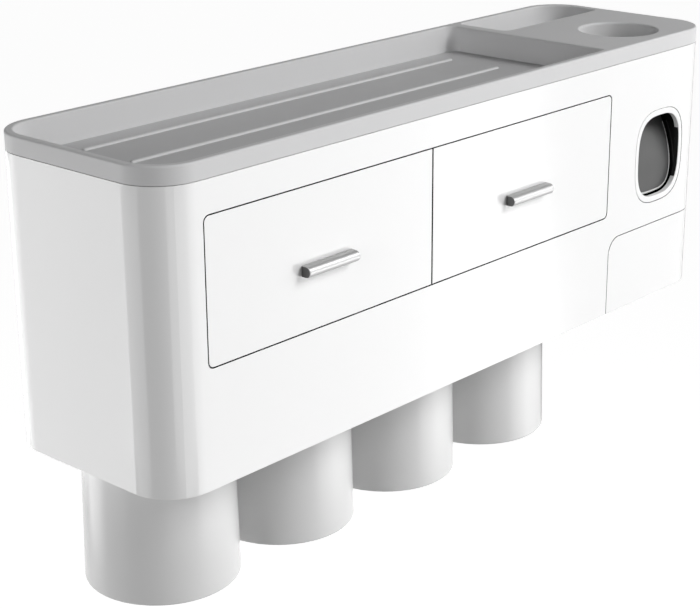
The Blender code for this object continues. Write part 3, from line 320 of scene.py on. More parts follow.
def skin(name, rings, loop=False):
    """Joins closed rings of points, an array of rings x points x 3, by four-sided faces; the last
    ring is joined to the first if loop is set, and otherwise both end rings are capped."""
    rings = np.asarray(rings, float)
    count, across = rings.shape[:2]
    first = np.arange(count if loop else count - 1)[:, None]
    side = np.arange(across)[None, :]
    after, beside = (first + 1) % count, (side + 1) % across
    round_a_face = ((first, side), (first, beside), (after, beside), (after, side))
    corners = [ring * across + point for ring, point in round_a_face]
    faces = np.stack(np.broadcast_arrays(*corners), axis=-1).reshape(-1, 4).tolist()
    if not loop:
        faces.append(list(range(across)))
        faces.append(list(range((count - 1) * across, count * across)))
    mesh = bpy.data.meshes.new("rings")
    mesh.from_pydata(rings.reshape(-1, 3).tolist(), [], faces)
    work = bmesh.new()
    work.from_mesh(mesh)
    bpy.data.meshes.remove(mesh)
    return settled(name, work)


def turned(name, radius, height, centre, steps, axis=2, loop=False):
    """A profile of radii and heights swung round an axis: each point goes to radius times the cosine
    and sine of the turn, at its height along the axis."""
    turn = np.arange(steps) * 2 * math.pi / steps
    radius, height = np.asarray(radius, float), np.asarray(height, float)
    across = radius[:, None] * np.cos(turn)
    up = radius[:, None] * np.sin(turn)
    along = np.broadcast_to(height[:, None], across.shape)
    points = np.stack([across, up, along], axis=-1)
    if axis != 2:
        points = np.roll(points, axis + 1, axis=-1)
    return skin(name, points + np.asarray(centre, float), loop)


def arc(centre, radius, start, end, steps):
    """Points round an arc as two arrays; each is the centre plus the radius times cosine or sine."""
    angle = np.radians(np.linspace(start, end, steps + 1))
    return centre[0] + radius * np.cos(angle), centre[1] + radius * np.sin(angle)


def polyline(*parts):
    """Joins points and arcs into one profile of two arrays."""
    return (np.concatenate([np.atleast_1d(part[k]) for part in parts]) for k in (0, 1))


def cross_screw(name, node, body):
    """A pan-head screw along Y, seen from behind: the head is a crown whose height falls with the
    square of the radius, less a cross whose arms have sloping walls."""
    low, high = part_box(node)
    centre = ((low.x + high.x) / 2, 0.0, (low.z + high.z) / 2)
    seat_y, top_y = high.y - HEAD_RISE, high.y
    spread = np.linspace(0.0, 1.0, SCREW_RINGS)[:, None] * (HEAD_RADIUS - HEAD_EDGE)
    turn = np.arange(SCREW_SPOKES)[None, :] * 2 * math.pi / SCREW_SPOKES
    across, up = spread * np.cos(turn), spread * np.sin(turn)
    arm = np.minimum(np.abs(across), np.abs(up)) - CROSS_WIDTH
    end = np.maximum(np.abs(across), np.abs(up)) - CROSS_REACH
    inside = np.clip(-np.maximum(arm, end) / CROSS_SLOPE, 0.0, 1.0)
    crown = HEAD_CROWN * (spread / HEAD_RADIUS) ** 2
    fade = np.clip(CROSS_FADE - spread / CROSS_REACH, 0.0, 1.0)
    crown_y = top_y - crown - CROSS_DEPTH * inside * fade
    face = np.stack([across, np.broadcast_to(crown_y, across.shape), up], axis=-1)
    edge_radius, edge_y = polyline(
        arc((HEAD_RADIUS - HEAD_EDGE, top_y - HEAD_CROWN - HEAD_EDGE), HEAD_EDGE, 90, 0, 4),
        (HEAD_RADIUS, seat_y + HEAD_FOOT),
        (HEAD_RADIUS - HEAD_FOOT, seat_y),
        (SHANK_RADIUS, seat_y),
        (SHANK_RADIUS, low.y + SHANK_TIP),
        (SHANK_RADIUS - SHANK_TIP, low.y),
        (0.0, low.y),
    )
    turn = turn[0]
    rest = [
        np.stack([radius * np.cos(turn), np.full_like(turn, y), radius * np.sin(turn)], axis=-1)
        for radius, y in zip(edge_radius, edge_y)
    ]
    screw = skin(name, np.concatenate([face, np.stack(rest)]) + np.asarray(centre))
    stands_for(screw, node, body, plated_steel)


plated_steel = plated("plated_steel", STEEL, 0.3, 1.2 * MM)

panel = merged_copy("back_panel", "rear_panel", PANEL_EDGE)
stands_for(panel, "back_panel", "holder", moulded_white)
for number in range(1, 7):
    cross_screw(f"rear_screw_{number}", f"panel_screw_{number}", "holder")

# Top tray
# A grey moulding with a fine matt texture that drops into the housing: a rounded band, a long
# recess with three ribs, a small rear pocket and a round hole for an upturned tube.

TRAY_GREY = (0.68, 0.68, 0.685)
TRAY_FLOOR_GREY = (0.56, 0.56, 0.565)
BAND_HEIGHT = 8.05 * MM
TRAY_RIM = 4.0 * MM
TRAY_DEPTH = 13.2 * MM
TRAY_FLOOR = 2.0 * MM
TRAY_LIP = 1.0 * MM
RECESS_CORNER = 2.0 * MM
RECESS_REAR_CORNER = 5.5 * MM
REAR_LEAN = 0.2
TUB_GAP = 2.8 * MM
RECESS_END = 95.0 * MM
POCKET_END = 88.0 * MM
POCKET_SIDE = 5.0 * MM
POCKET_FRONT = 71.5 * MM
POCKET_CORNER = 4.0 * MM
DECK_WALL = 8.0 * MM
DECK_THICKNESS = 2.3 * MM
RIB_X = (-165.0 * MM, 84.5 * MM)
RIB_Y = (-83.6 * MM, -52.7 * MM, -21.8 * MM)
RIB_WIDTH = 2.4 * MM
RIB_HEIGHT = 1.0 * MM
TUBE_X = 154.2 * MM
TUBE_Y = -78.9 * MM
TUBE_BORE = 20.4 * MM
TUBE_LIP = 1.3 * MM
TUBE_STEPS = 128
COLLAR_WALL = 2.5 * MM
COLLAR_END = 40.2 * MM
CORNER_STEPS = 16
LIP_STEPS = 8
CUT_MARGIN = 4.0 * MM
LEAST_RADIUS = 0.1 * MM
FLOOR_SLACK = 0.1 * MM


def rounded_rectangle(edges, radii, inset):
    """Points round a rectangle, anticlockwise from its low left corner: at each corner they go a
    quarter turn about a centre one radius in from both edges."""
    left, right, low, high = edges
    reach = np.maximum(np.asarray(radii, float) - inset, LEAST_RADIUS)
    centre_x = np.array([left, right, right, left]) + np.array([1, -1, -1, 1]) * (reach + inset)
    centre_y = np.array([low, low, high, high]) + np.array([1, 1, -1, -1]) * (reach + inset)
    angle = np.radians(np.array([180, 270, 0, 90])[:, None] + np.linspace(0, 90, CORNER_STEPS + 1))
    across = centre_x[:, None] + reach[:, None] * np.cos(angle)
    up = centre_y[:, None] + reach[:, None] * np.sin(angle)
    return across.ravel(), up.ravel()


def stack(name, edges, radii, insets, heights, upright=False):
    """A solid whose levels are one rounded rectangle, each drawn in by its inset; upright lays the
    rectangle in the plane of the front instead of level."""
    rings = []
    for inset, height in zip(insets, heights):
        across, up = rounded_rectangle(edges, radii, inset)
        rings.append(np.stack([across, up, np.full_like(across, height)], axis=-1))
    rings = np.stack(rings)
    return skin(name, rings[:, :, [0, 2, 1]] if upright else rings)


def carve(piece, operation, *tools):
    """Applies one Boolean after another to a piece, bakes the result and deletes the tools."""
    for tool in tools:
        step = piece.modifiers.new(tool.name, "BOOLEAN")
        step.operation = operation
        step.solver = "EXACT"
        step.object = tool
    graph = bpy.context.evaluated_depsgraph_get()
    baked = bpy.data.meshes.new_from_object(piece.evaluated_get(graph))
    piece.modifiers.clear()
    piece.data = baked
    for tool in tools:
        bpy.data.objects.remove(tool, do_unlink=True)


def reshade(piece):
    """Smooth shading again after Booleans, with the flat faces kept flat."""
    piece.data.shade_smooth()
    piece.data.set_sharp_from_angle(angle=math.radians(SHARP_DEGREES))
    return soften(piece, 0.0)


def recess(name, edges, radii, floor, top):
    """Cutter for a recess whose lip is a quarter arc and whose rear wall leans back: it comes
    forward by a share of the depth below the lip."""
    left, right, front, back = edges
    lip_in, lip_z = arc((-TRAY_LIP, top - TRAY_LIP), TRAY_LIP, 0, 90, LIP_STEPS)
    insets = (0.0, *lip_in, -TRAY_LIP)
    heights = (floor, *lip_z, top + CUT_MARGIN)
    rings = []
    for inset, height in zip(insets, heights):
        lean = REAR_LEAN * max(top - TRAY_LIP - height, 0.0)
        across, up = rounded_rectangle((left, right, front, back - lean), radii, inset)
        rings.append(np.stack([across, up, np.full_like(across, height)], axis=-1))
    return skin(name, rings)


def top_tray(name, node):
    """The band round the top with the two tubs and the collar below it, less the recesses."""
    low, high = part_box(node)
    left, right, front, back, top = low.x, high.x, low.y, high.y, high.z
    floor = top - TRAY_DEPTH
    band_low = top - BAND_HEIGHT
    edge_in, edge_z = arc((TRAY_LIP, top - TRAY_LIP), TRAY_LIP, 180, 90, LIP_STEPS)
    body = (left, right, front, back)
    tray = stack(name, body, (BODY_CORNER,) * 4, (0.0, *edge_in), (band_low, *edge_z))
    pocket_y = front + POCKET_FRONT
    deck = (right - POCKET_END, right - DECK_WALL, front + DECK_WALL, pocket_y - TRAY_RIM)
    deck_radii = (0, BODY_CORNER - DECK_WALL, 0, 0)
    under = stack("under", deck, deck_radii, (0, 0), (band_low - CUT_MARGIN, top - DECK_THICKNESS))
    carve(tray, "DIFFERENCE", under)

    main = (left + TRAY_RIM, right - RECESS_END, front + TRAY_RIM, back - TRAY_RIM)
    pocket = (right - POCKET_END, right - POCKET_SIDE, pocket_y, back - TRAY_RIM)
    plug = BODY_CORNER - TUB_GAP
    tub_z = (low.z, top - BAND_HEIGHT / 2)
    main_tub = (left + TUB_GAP, main[1] + TRAY_FLOOR, front + TUB_GAP, back - TUB_GAP)
    pocket_tub = (pocket[0] - TRAY_FLOOR, right - TUB_GAP, pocket_y - TRAY_FLOOR, back - TUB_GAP)
    collar = (TUBE_BORE + COLLAR_WALL,) * 2
    tube_place = (TUBE_X, TUBE_Y, 0)
    carve(
        tray,
        "UNION",
        stack("main_tub", main_tub, (plug, 0, 0, plug), (0, 0), tub_z),
        stack("pocket_tub", pocket_tub, (0, 0, plug, 0), (0, 0), tub_z),
        turned("collar", collar, (COLLAR_END, top - TRAY_LIP), tube_place, TUBE_STEPS),
    )
    corner = BODY_CORNER - TRAY_RIM
    small = POCKET_CORNER
    lip_radius, lip_z = arc((TUBE_BORE + TUBE_LIP, top - TUBE_LIP), TUBE_LIP, 180, 90, LIP_STEPS)
    hole_radius = (TUBE_BORE, *lip_radius, TUBE_BORE + TUBE_LIP)
    hole_z = (low.z - CUT_MARGIN, *lip_z, top + CUT_MARGIN)
    main_corners = (corner, RECESS_CORNER, RECESS_REAR_CORNER, corner)
    carve(
        tray,
        "DIFFERENCE",
        recess("main_recess", main, main_corners, floor, top),
        recess("pocket_recess", pocket, (small, small, corner, small), floor, top),
        turned("tube_hole", hole_radius, hole_z, tube_place, TUBE_STEPS),
    )
    half = RIB_WIDTH / 2
    rise = np.radians(np.linspace(0, 80, LIP_STEPS + 1))
    insets = (0, *(half * (1 - np.cos(rise))))
    heights = (floor - TRAY_FLOOR / 2, *(floor + RIB_HEIGHT * np.sin(rise)))
    ribs = [
        stack(f"rib_{k}", (*RIB_X, y - half, y + half), (half,) * 4, insets, heights)
        for k, y in enumerate(RIB_Y)
    ]
    carve(tray, "UNION", *ribs)
    floor_high = floor + FLOOR_SLACK
    # The upward faces of the recess floors are coloured a darker grey than the rest.
    mark(tray, lambda middles, normals: (middles[:, 2] < floor_high) & (normals[:, 2] > 0.9))
    return reshade(tray)


tray_grey = plastic(
    "tray_grey",
    TRAY_GREY,
    0.5,
    grain=0.28 * MM,
    depth=0.02 * MM,
    drift=0.02,
    marked=TRAY_FLOOR_GREY,
    sockets={"Specular IOR Level": 0.25},
)

tray = top_tray("top_tray_moulding", "top_tray")
stands_for(tray, "top_tray", "holder", tray_grey)

# Drawers
# Two shallow moulded boxes, each with a flush high-gloss front. A satin aluminium bar handle, D
# shaped in section, is held by two screws from inside the box.

BOX_EDGE = 0.3 * MM
FRONT_EDGE = 0.12 * MM
FRONT_CORNER = 2.7 * MM
FRONT_TRIM = 0.3 * MM
HANDLE_EDGE = 0.35 * MM
HANDLE_FLAT = 2.4 * MM
HANDLE_SILVER = (0.45, 0.45, 0.45)
# Dark grey painted on the bar's ends as a painted reflection.
HANDLE_END_PAINTED_REFLECTION = (0.13, 0.13, 0.13)
HANDLE_REACH_IN = 3.5 * MM
HANDLE_GRAIN = 0.25 * MM
HANDLE_GRAIN_DRAWN = (0.12, 1.0, 1.0)
HANDLE_RIPPLE = 0.006 * MM
SCREW_BORE = 1.6 * MM
BORE_STEPS = 32
NOSE_STEPS = 32
EDGE_STEPS = 6


def screw_bores(nodes, start, end):
    """Cutters along Y for the screws of those names."""
    bores = []
    for node in nodes:
        low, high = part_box(node)
        centre = ((low.x + high.x) / 2, 0.0, (low.z + high.z) / 2)
        bores.append(turned("bore", (SCREW_BORE,) * 2, (start, end), centre, BORE_STEPS, axis=1))
    return bores


def drawer_face(name, node, corners, screws):
    """A flat panel, trimmed all round, whose front edge is a quarter arc and whose sides are
    painted near black as painted shade in the seam.
    """
    low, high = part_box(node)
    edge_in, edge_y = arc((FRONT_EDGE, low.y + FRONT_EDGE), FRONT_EDGE, 270, 180, EDGE_STEPS)
    edges = (low.x + FRONT_TRIM, high.x - FRONT_TRIM, low.z + FRONT_TRIM, high.z - FRONT_TRIM)
    face = stack(name, edges, corners, (*edge_in, 0.0), (*edge_y, high.y), upright=True)
    carve(face, "DIFFERENCE", *screw_bores(screws, low.y - CUT_MARGIN, high.y + CUT_MARGIN))
    # The sides are painted near black: painted shade in the seam.
    mark(face, lambda middles, normals: np.abs(normals[:, 1]) < 0.5)
    return reshade(face)


def bar_handle(name, node, screws):
    """A bar along X, flat behind and half an ellipse in front, whose ends are drawn in along a
    quarter arc."""
    low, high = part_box(node)
    middle, half = (low.z + high.z) / 2, (high.z - low.z) / 2
    shoulder = high.y - HANDLE_FLAT
    turn = np.radians(np.linspace(-90, 90, NOSE_STEPS + 1))
    left_in, left_x = arc((HANDLE_EDGE, low.x + HANDLE_EDGE), HANDLE_EDGE, 270, 180, EDGE_STEPS)
    right_in, right_x = arc((HANDLE_EDGE, high.x - HANDLE_EDGE), HANDLE_EDGE, 180, 90, EDGE_STEPS)
    rings = []
    for inset, x in zip((*left_in, *right_in), (*left_x, *right_x)):
        y = np.append(shoulder - (shoulder - low.y - inset) * np.cos(turn), (high.y, high.y))
        z = middle + (half - inset) * np.append(np.sin(turn), (1, -1))
        rings.append(np.stack([np.full_like(y, x), y, z], axis=-1))
    bar = skin(name, rings)
    carve(bar, "DIFFERENCE", *screw_bores(screws, high.y - HANDLE_REACH_IN, high.y + CUT_MARGIN))
    # The end faces are painted dark grey: a painted reflection.
    mark(bar, lambda middles, normals: np.abs(normals[:, 0]) > 0.95)
    return reshade(bar)


def satin_metal(name, colour, roughness, marked):
    """Bead-blasted and anodised aluminium: a fine even grain, drawn out along the bar, and marked
    faces painted another colour, which on the bar's ends is a painted dark reflection."""
    made, shader, place = bare_finish(name, colour, roughness, {"Metallic": 0.9})
    drawn = place.node("ShaderNodeMapping", {}, {"Vector": place, "Scale": HANDLE_GRAIN_DRAWN})
    grain = noise(drawn, HANDLE_GRAIN, 3.0)
    (roughness * 0.8 + grain * (0.4 * roughness)).into(shader, "Roughness")
    colours = mix(grain, [value * 0.95 for value in colour], colour)
    marked_in(place, colours, marked).into(shader, "Base Color")
    raise_surface(shader, grain, HANDLE_RIPPLE)
    return made


# The handle's ends take a dark grey that is a painted reflection.
satin_silver = satin_metal("satin_silver", HANDLE_SILVER, 0.42, HANDLE_END_PAINTED_REFLECTION)

for side in ("left", "right"):
    body = f"drawer_{side}"
    screws = [f"handle_screw_{side}_{number}" for number in (1, 2)]
    corner = FRONT_CORNER
    corners = (corner, 0, 0, corner) if side == "left" else (0, corner, corner, 0)
    box = merged_copy(f"drawer_box_{side}", f"drawer_tub_{side}", BOX_EDGE)
    stands_for(box, f"drawer_box_{side}", body, moulded_white)
    front = drawer_face(f"drawer_face_{side}", f"drawer_front_{side}", corners, screws)
    stands_for(front, f"drawer_front_{side}", body, gloss_white)
    handle = bar_handle(f"bar_handle_{side}", f"handle_{side}", screws)
    stands_for(handle, f"handle_{side}", body, satin_silver)
    for number, node in enumerate(screws, start=1):
        cross_screw(f"bar_screw_{side}_{number}", node, body)

# Cups and their magnets
# Four tumblers of satin white plastic that hang mouth down. A plated disc magnet in each cup's
# base is drawn to one in the housing above it.

CUP_WHITE = (0.78, 0.78, 0.78)
CUP_STEPS = 160
CUP_TAPER = 2.1 * MM
CUP_WALL = 2.2 * MM
CUP_LIP = 1.1 * MM
CUP_EDGE = 3.0 * MM
CUP_BASE = 2.5 * MM
BOSS_EDGE = 0.8 * MM
MAGNET_POCKET = 10.3 * MM
MAGNET_POCKET_EDGE = 0.3 * MM
MAGNET_SINK = 3.6 * MM
MAGNET_EDGE = 0.4 * MM
MAGNET_STEPS = 64


def tumbler(name, node):
    """A cup turned from one profile: base, rounded edge, tapering wall, half-round lip and inside."""
    low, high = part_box(node)
    mouth = (high.x - low.x) / 2
    base = mouth - CUP_TAPER
    top, rim = high.z, low.z
    ceiling = top - CUP_BASE
    boss = MAGNET_POCKET + CUP_WALL
    radius, height = polyline(
        (0.0, top - MAGNET_SINK),
        (MAGNET_POCKET, top - MAGNET_SINK),
        (MAGNET_POCKET, top - MAGNET_POCKET_EDGE),
        (MAGNET_POCKET + MAGNET_POCKET_EDGE, top),
        arc((base - CUP_EDGE, top - CUP_EDGE), CUP_EDGE, 90, 0, EDGE_STEPS),
        arc((mouth - CUP_LIP, rim + CUP_LIP), CUP_LIP, 0, -180, 2 * EDGE_STEPS),
        arc((base - CUP_WALL - CUP_EDGE, ceiling - CUP_EDGE), CUP_EDGE, 0, 90, EDGE_STEPS),
        (boss + BOSS_EDGE, ceiling),
        (boss, ceiling - BOSS_EDGE),
        (boss, top - MAGNET_SINK - CUP_BASE + BOSS_EDGE),
        (boss - BOSS_EDGE, top - MAGNET_SINK - CUP_BASE),
        (0.0, top - MAGNET_SINK - CUP_BASE),
    )
    centre = ((low.x + high.x) / 2, (low.y + high.y) / 2, 0.0)
    return turned(name, radius, height, centre, CUP_STEPS)


def disc(name, node):
    """A round plate with chamfered rims in the space of a packed disc."""
    low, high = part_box(node)
    radius = (high.x - low.x) / 2
    centre = ((low.x + high.x) / 2, (low.y + high.y) / 2, 0.0)
    across = (0.0, radius - MAGNET_EDGE, radius, radius, radius - MAGNET_EDGE, 0.0)
    up = (low.z, low.z, low.z + MAGNET_EDGE, high.z - MAGNET_EDGE, high.z, high.z)
    return turned(name, across, up, centre, MAGNET_STEPS)


satin_cup = plastic(
    "satin_cup",
    CUP_WHITE,
    0.24,
    grain=0.6 * MM,
    depth=0.004 * MM,
    drift=0.008,
    sockets={"Specular IOR Level": 0.6},
)

for number in (1, 2, 3, 4):
    body = f"cup_body_{number}"
    cup = tumbler(f"tumbler_{number}", f"cup_{number}")
    stands_for(cup, f"cup_{number}", body, satin_cup)
    lower_disc = disc(f"cup_disc_{number}", f"cup_magnet_{number}")
    stands_for(lower_disc, f"cup_magnet_{number}", body, plated_steel)
    upper_disc = disc(f"seat_disc_{number}", f"ceiling_magnet_{number}")
    stands_for(upper_disc, f"ceiling_magnet_{number}", "holder", plated_steel)

# Brush rack
# A comb on an angle strip, moulded in white and bonded inside the front of the skirt. Brushes
# hang by their necks in its six notches.

RACK_EDGE = 0.35 * MM

rack = merged_copy("brush_rack", "brush_comb", RACK_EDGE)
stands_for(rack, "brush_rack", "holder", moulded_white)

# Squeezer chamber and its screws
# A box of polished black plastic behind the window, with a tower above it that holds the pump.
# Four screws fix its flange to posts in the housing.

CHAMBER_EDGE = 0.4 * MM
BLACK = (0.005, 0.005, 0.005)

gloss_black = plastic("gloss_black", BLACK, 0.07, grain=2.0 * MM, depth=0.002 * MM)

chamber = merged_copy("dispenser_chamber", "squeezer_chamber", CHAMBER_EDGE)
stands_for(chamber, "dispenser_chamber", "holder", gloss_black)
for number in (1, 2, 3, 4):
    cross_screw(f"flange_screw_{number}", f"chamber_screw_{number}", "holder")

# Window bezel
# A white ring set flush into the front round the squeezer's mouth, with rounded edges. Its walls
# are painted near black behind those edges as painted shade, all but the foot of the inner wall
# and a patch on its right, which stay white where light falls.

BEZEL_STEPS = 192
BEZEL_SIDE = 2.8 * MM
BEZEL_END = 3.1 * MM
BEZEL_OUTER_EDGE = 0.25 * MM
BEZEL_INNER_EDGE = 0.35 * MM
BEZEL_SQUARENESS = 3.0
# Height and reach of the patch that is left white, unpainted, to show light on the inner wall.
BEZEL_LIT_PATCH_Z = 6.0 * MM
BEZEL_LIT_PATCH_REACH = 5.0 * MM


def squircle(centre_x, centre_z, half_width, half_height, steps, squareness):
    """Superellipse in the plane of the front: each coordinate is its half size times the cosine or
    sine raised to 2 over the squareness, with its sign kept."""
    turn = np.arange(steps) * 2 * math.pi / steps
    across, up = np.cos(turn), np.sin(turn)
    power = 2 / squareness
    x = centre_x + half_width * np.sign(across) * np.abs(across) ** power
    z = centre_z + half_height * np.sign(up) * np.abs(up) ** power
    return x, z


def window_ring(name, node):
    """The bezel's section carried round the squircle: each point of the section is an inset from
    the outer edge and a depth from the front."""
    low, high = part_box(node)
    centre_x, centre_z = (low.x + high.x) / 2, (low.z + high.z) / 2
    half_width, half_height = (high.x - low.x) / 2, (high.z - low.z) / 2
    thick = high.y - low.y
    outer, inner = BEZEL_OUTER_EDGE, BEZEL_INNER_EDGE
    inset, depth = polyline(
        (0.0, thick),
        arc((outer, outer), outer, 180, 270, EDGE_STEPS),
        arc((BEZEL_SIDE - inner, inner), inner, 270, 360, EDGE_STEPS),
        (BEZEL_SIDE, thick),
    )
    stretch = (BEZEL_END - BEZEL_SIDE) / BEZEL_SIDE
    rings = []
    for step_in, step_back in zip(inset, depth):
        half_sizes = half_width - step_in, half_height - step_in * (1 + stretch)
        x, z = squircle(centre_x, centre_z, *half_sizes, BEZEL_STEPS, BEZEL_SQUARENESS)
        rings.append(np.stack([x, np.full_like(x, low.y + step_back), z], axis=-1))
    ring = skin(name, rings, loop=True)

    def in_painted_shade(middles, normals):
        """Rule for the faces painted near black as painted shade: the outer wall, and the inner wall
        except its foot and a lit patch on its right.
        """
        x, z = middles[:, 0] - centre_x, middles[:, 2] - centre_z
        outwards = normals[:, 0] * x + normals[:, 2] * z > 0
        patch = (x > 0) & (np.abs(middles[:, 2] - BEZEL_LIT_PATCH_Z) < BEZEL_LIT_PATCH_REACH)
        behind_edge = middles[:, 1] > low.y + np.where(outwards, BEZEL_OUTER_EDGE, BEZEL_INNER_EDGE)
        return behind_edge & (outwards | ((normals[:, 2] < 0.5) & ~patch))

    mark(ring, in_painted_shade)
    return ring


bezel = window_ring("window_ring", "window_bezel")
stands_for(bezel, "window_bezel", "holder", gloss_white)

# Push lever and its pin
# A curved plate of dark grey plastic that closes most of the mouth. It turns on a steel pin at its
# top, and an arm behind the pin lifts the pump's bellows when the plate is pushed back.

LEVER_GREY = (0.075, 0.075, 0.075)
# Pale grey painted on the plate's rim as a painted highlight.
LEVER_RIM_HIGHLIGHT = (0.8, 0.8, 0.8)
PLATE_SQUARENESS = 3.8
PLATE_THICKNESS = 2.2 * MM
PLATE_STRAIGHT = 9.0 * MM
PLATE_ARC = 60.0 * MM
PLATE_EDGE = 0.5 * MM
PLATE_POINTS = 160
PLATE_RINGS = 28
HUB_RADIUS = 3.4 * MM
HUB_SET_IN = 0.1 * MM
HUB_STEPS = 64
PIN_BORE = 1.8 * MM
PIN_BORE_STEPS = 48
PIN_EDGE = 0.2 * MM
ARM_HALF_WIDTH = 5.0 * MM
ARM_DROP = 0.3 * MM
PAD_RADIUS = 7.8 * MM
RIM_SHARE = 0.81


def push_plate(name, node, pin_node):
    """Rings drawn in from the plate's outline to its middle, in front and behind, joined round a
    rounded edge. The depth of a point is the lean of the arc at its height: the arc's radius less
    the root of its square less the square of the height above the bend."""
    low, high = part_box(node)
    pin_low, pin_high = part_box(pin_node)
    window_low, window_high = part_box("window_bezel")
    centre_x, centre_z = (low.x + high.x) / 2, (window_low.z + window_high.z) / 2
    pin_y, pin_z = (pin_low.y + pin_high.y) / 2, (pin_low.z + pin_high.z) / 2
    half = (high.x - low.x) / 2
    x, z = squircle(centre_x, centre_z, half, centre_z - low.z, PLATE_POINTS, PLATE_SQUARENESS)
    upper = z > centre_z
    z = np.where(upper, centre_z + (z - centre_z) * (pin_z - centre_z) / (centre_z - low.z), z)
    x = np.where(upper & (x > centre_x), high.x, np.where(upper & (x < centre_x), low.x, x))
    along = np.stack([np.roll(x, -1) - np.roll(x, 1), np.roll(z, -1) - np.roll(z, 1)])
    along /= np.maximum(np.hypot(*along), MERGE_DISTANCE)
    along = np.where(upper, np.stack([np.zeros_like(x), np.sign(x - centre_x)]), along)
    bend = low.z + PLATE_STRAIGHT
    back_edge = (PLATE_EDGE, PLATE_THICKNESS - PLATE_EDGE)
    edge_in, edge_depth = arc((PLATE_EDGE, PLATE_EDGE), PLATE_EDGE, 270, 180, EDGE_STEPS)
    back_in, back_depth = arc(back_edge, PLATE_EDGE, 180, 90, EDGE_STEPS)
    shares = np.linspace(0.0, 1.0, PLATE_RINGS)
    steps = [(share, PLATE_EDGE, 0.0) for share in shares[:-1]]
    steps += [(1.0, inset, depth) for inset, depth in zip(edge_in, edge_depth)]
    steps += [(1.0, inset, depth) for inset, depth in zip(back_in, back_depth)]
    steps += [(share, PLATE_EDGE, PLATE_THICKNESS) for share in shares[-2::-1]]
    middle_z = (low.z + pin_z) / 2
    rings = []
    for share, inset, depth in steps:
        ring_x = centre_x + share * (x - along[1] * inset - centre_x)
        ring_z = middle_z + share * (z + along[0] * inset - middle_z)
        lean = PLATE_ARC - np.sqrt(PLATE_ARC**2 - np.maximum(ring_z - bend, 0.0) ** 2)
        rings.append(np.stack([ring_x, low.y + lean + depth, ring_z], axis=-1))
    plate = skin(name, rings)

    arm_high = high.z - ARM_DROP
    arm_low = arm_high - PLATE_THICKNESS
    arm_edges = (centre_x - ARM_HALF_WIDTH, centre_x + ARM_HALF_WIDTH, pin_y, TUBE_Y)
    ends = (low.x + HUB_SET_IN, high.x - HUB_SET_IN)
    pin_place = (0, pin_y, pin_z)
    pad_place = (TUBE_X, TUBE_Y, 0)
    carve(
        plate,
        "UNION",
        turned("hub", (HUB_RADIUS,) * 2, ends, pin_place, HUB_STEPS, axis=0),
        stack("arm", arm_edges, (0,) * 4, (0, 0), (arm_low, arm_high)),
        turned("pad", (PAD_RADIUS,) * 2, (arm_low, arm_high), pad_place, HUB_STEPS),
    )
    past = (low.x - CUT_MARGIN, high.x + CUT_MARGIN)
    bore = turned("bore", (PIN_BORE,) * 2, past, pin_place, PIN_BORE_STEPS, axis=0)
    carve(plate, "DIFFERENCE", bore)

    def on_highlight_rim(middles, normals):
        """Rule for the rim of the plate's front below the hub, painted pale as a painted highlight."""
        across = np.abs(middles[:, 0] - centre_x) / half
        down = np.maximum(centre_z - middles[:, 2], 0.0) / (centre_z - low.z)
        outside = across**PLATE_SQUARENESS + down**PLATE_SQUARENESS > RIM_SHARE
        return outside & (normals[:, 1] < 0.3) & (middles[:, 2] < pin_z - 2 * HUB_RADIUS)

    # The rim is painted pale: a painted highlight on the edge.
    mark(plate, on_highlight_rim)
    return reshade(plate)


# Its marked rim is painted pale: a painted highlight.
lever_grey = plastic(
    "lever_grey",
    LEVER_GREY,
    0.4,
    grain=0.5 * MM,
    depth=0.01 * MM,
    drift=0.03,
    marked=LEVER_RIM_HIGHLIGHT,
    sockets={"Specular IOR Level": 0.2},
)

lever = push_plate("push_plate", "push_lever", "lever_pin")
stands_for(lever, "push_lever", "lever", lever_grey)
pin = merged_copy("lever_pin", "hinge_pin", PIN_EDGE)
stands_for(pin, "lever_pin", "holder", plated_steel)

# Paste pump
# The tube's shoulder sits on a ring of soft silicone. Below it are a duct and nozzle of natural
# plastic and a folded bellows that the lever's arm squeezes against the duct.

SILICONE = (0.75, 0.75, 0.74)
NATURAL = (0.85, 0.85, 0.83)
SEAT_MOUTH = 17.0 * MM
SEAT_NECK = 5.8 * MM
SEAT_WALL = 2.5 * MM
BELLOWS_PEAK = 10.5 * MM
BELLOWS_VALLEY = 8.2 * MM
BELLOWS_WALL = 1.2 * MM
BELLOWS_FOLDS = 3
BELLOWS_RINGS = 73
BELLOWS_STEPS = 96
SEAT_EDGE = 0.3 * MM
NOZZLE_EDGE = 0.2 * MM


def tube_gasket(name, node):
    """A ring turned from one section, with a cone in its middle for the tube's shoulder."""
    low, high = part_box(node)
    rim = (high.x - low.x) / 2
    radius = (SEAT_NECK, rim, rim, SEAT_MOUTH, SEAT_NECK + SEAT_WALL, SEAT_NECK)
    height = (low.z, low.z, high.z, high.z, low.z + SEAT_WALL, low.z + SEAT_WALL)
    ring = turned(name, radius, height, (TUBE_X, TUBE_Y, 0), TUBE_STEPS, loop=True)
    return soften(ring, SEAT_EDGE)


def folded_bellows(name, node):
    """A turned sleeve, closed below, whose radius swings between valley and peak with the cosine of
    the height, once for each fold."""
    low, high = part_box(node)
    share = np.linspace(0.0, 1.0, BELLOWS_RINGS)
    swing = (1 - np.cos(2 * math.pi * BELLOWS_FOLDS * share)) / 2
    outer = BELLOWS_VALLEY + (BELLOWS_PEAK - BELLOWS_VALLEY) * swing
    up = low.z + (high.z - low.z) * share
    floor = low.z + BELLOWS_WALL
    radius = (0.0, *(outer - BELLOWS_WALL), *outer[::-1], 0.0)
    height = (floor, *np.maximum(up, floor), *up[::-1], low.z)
    return turned(name, radius, height, (TUBE_X, TUBE_Y, 0), BELLOWS_STEPS)


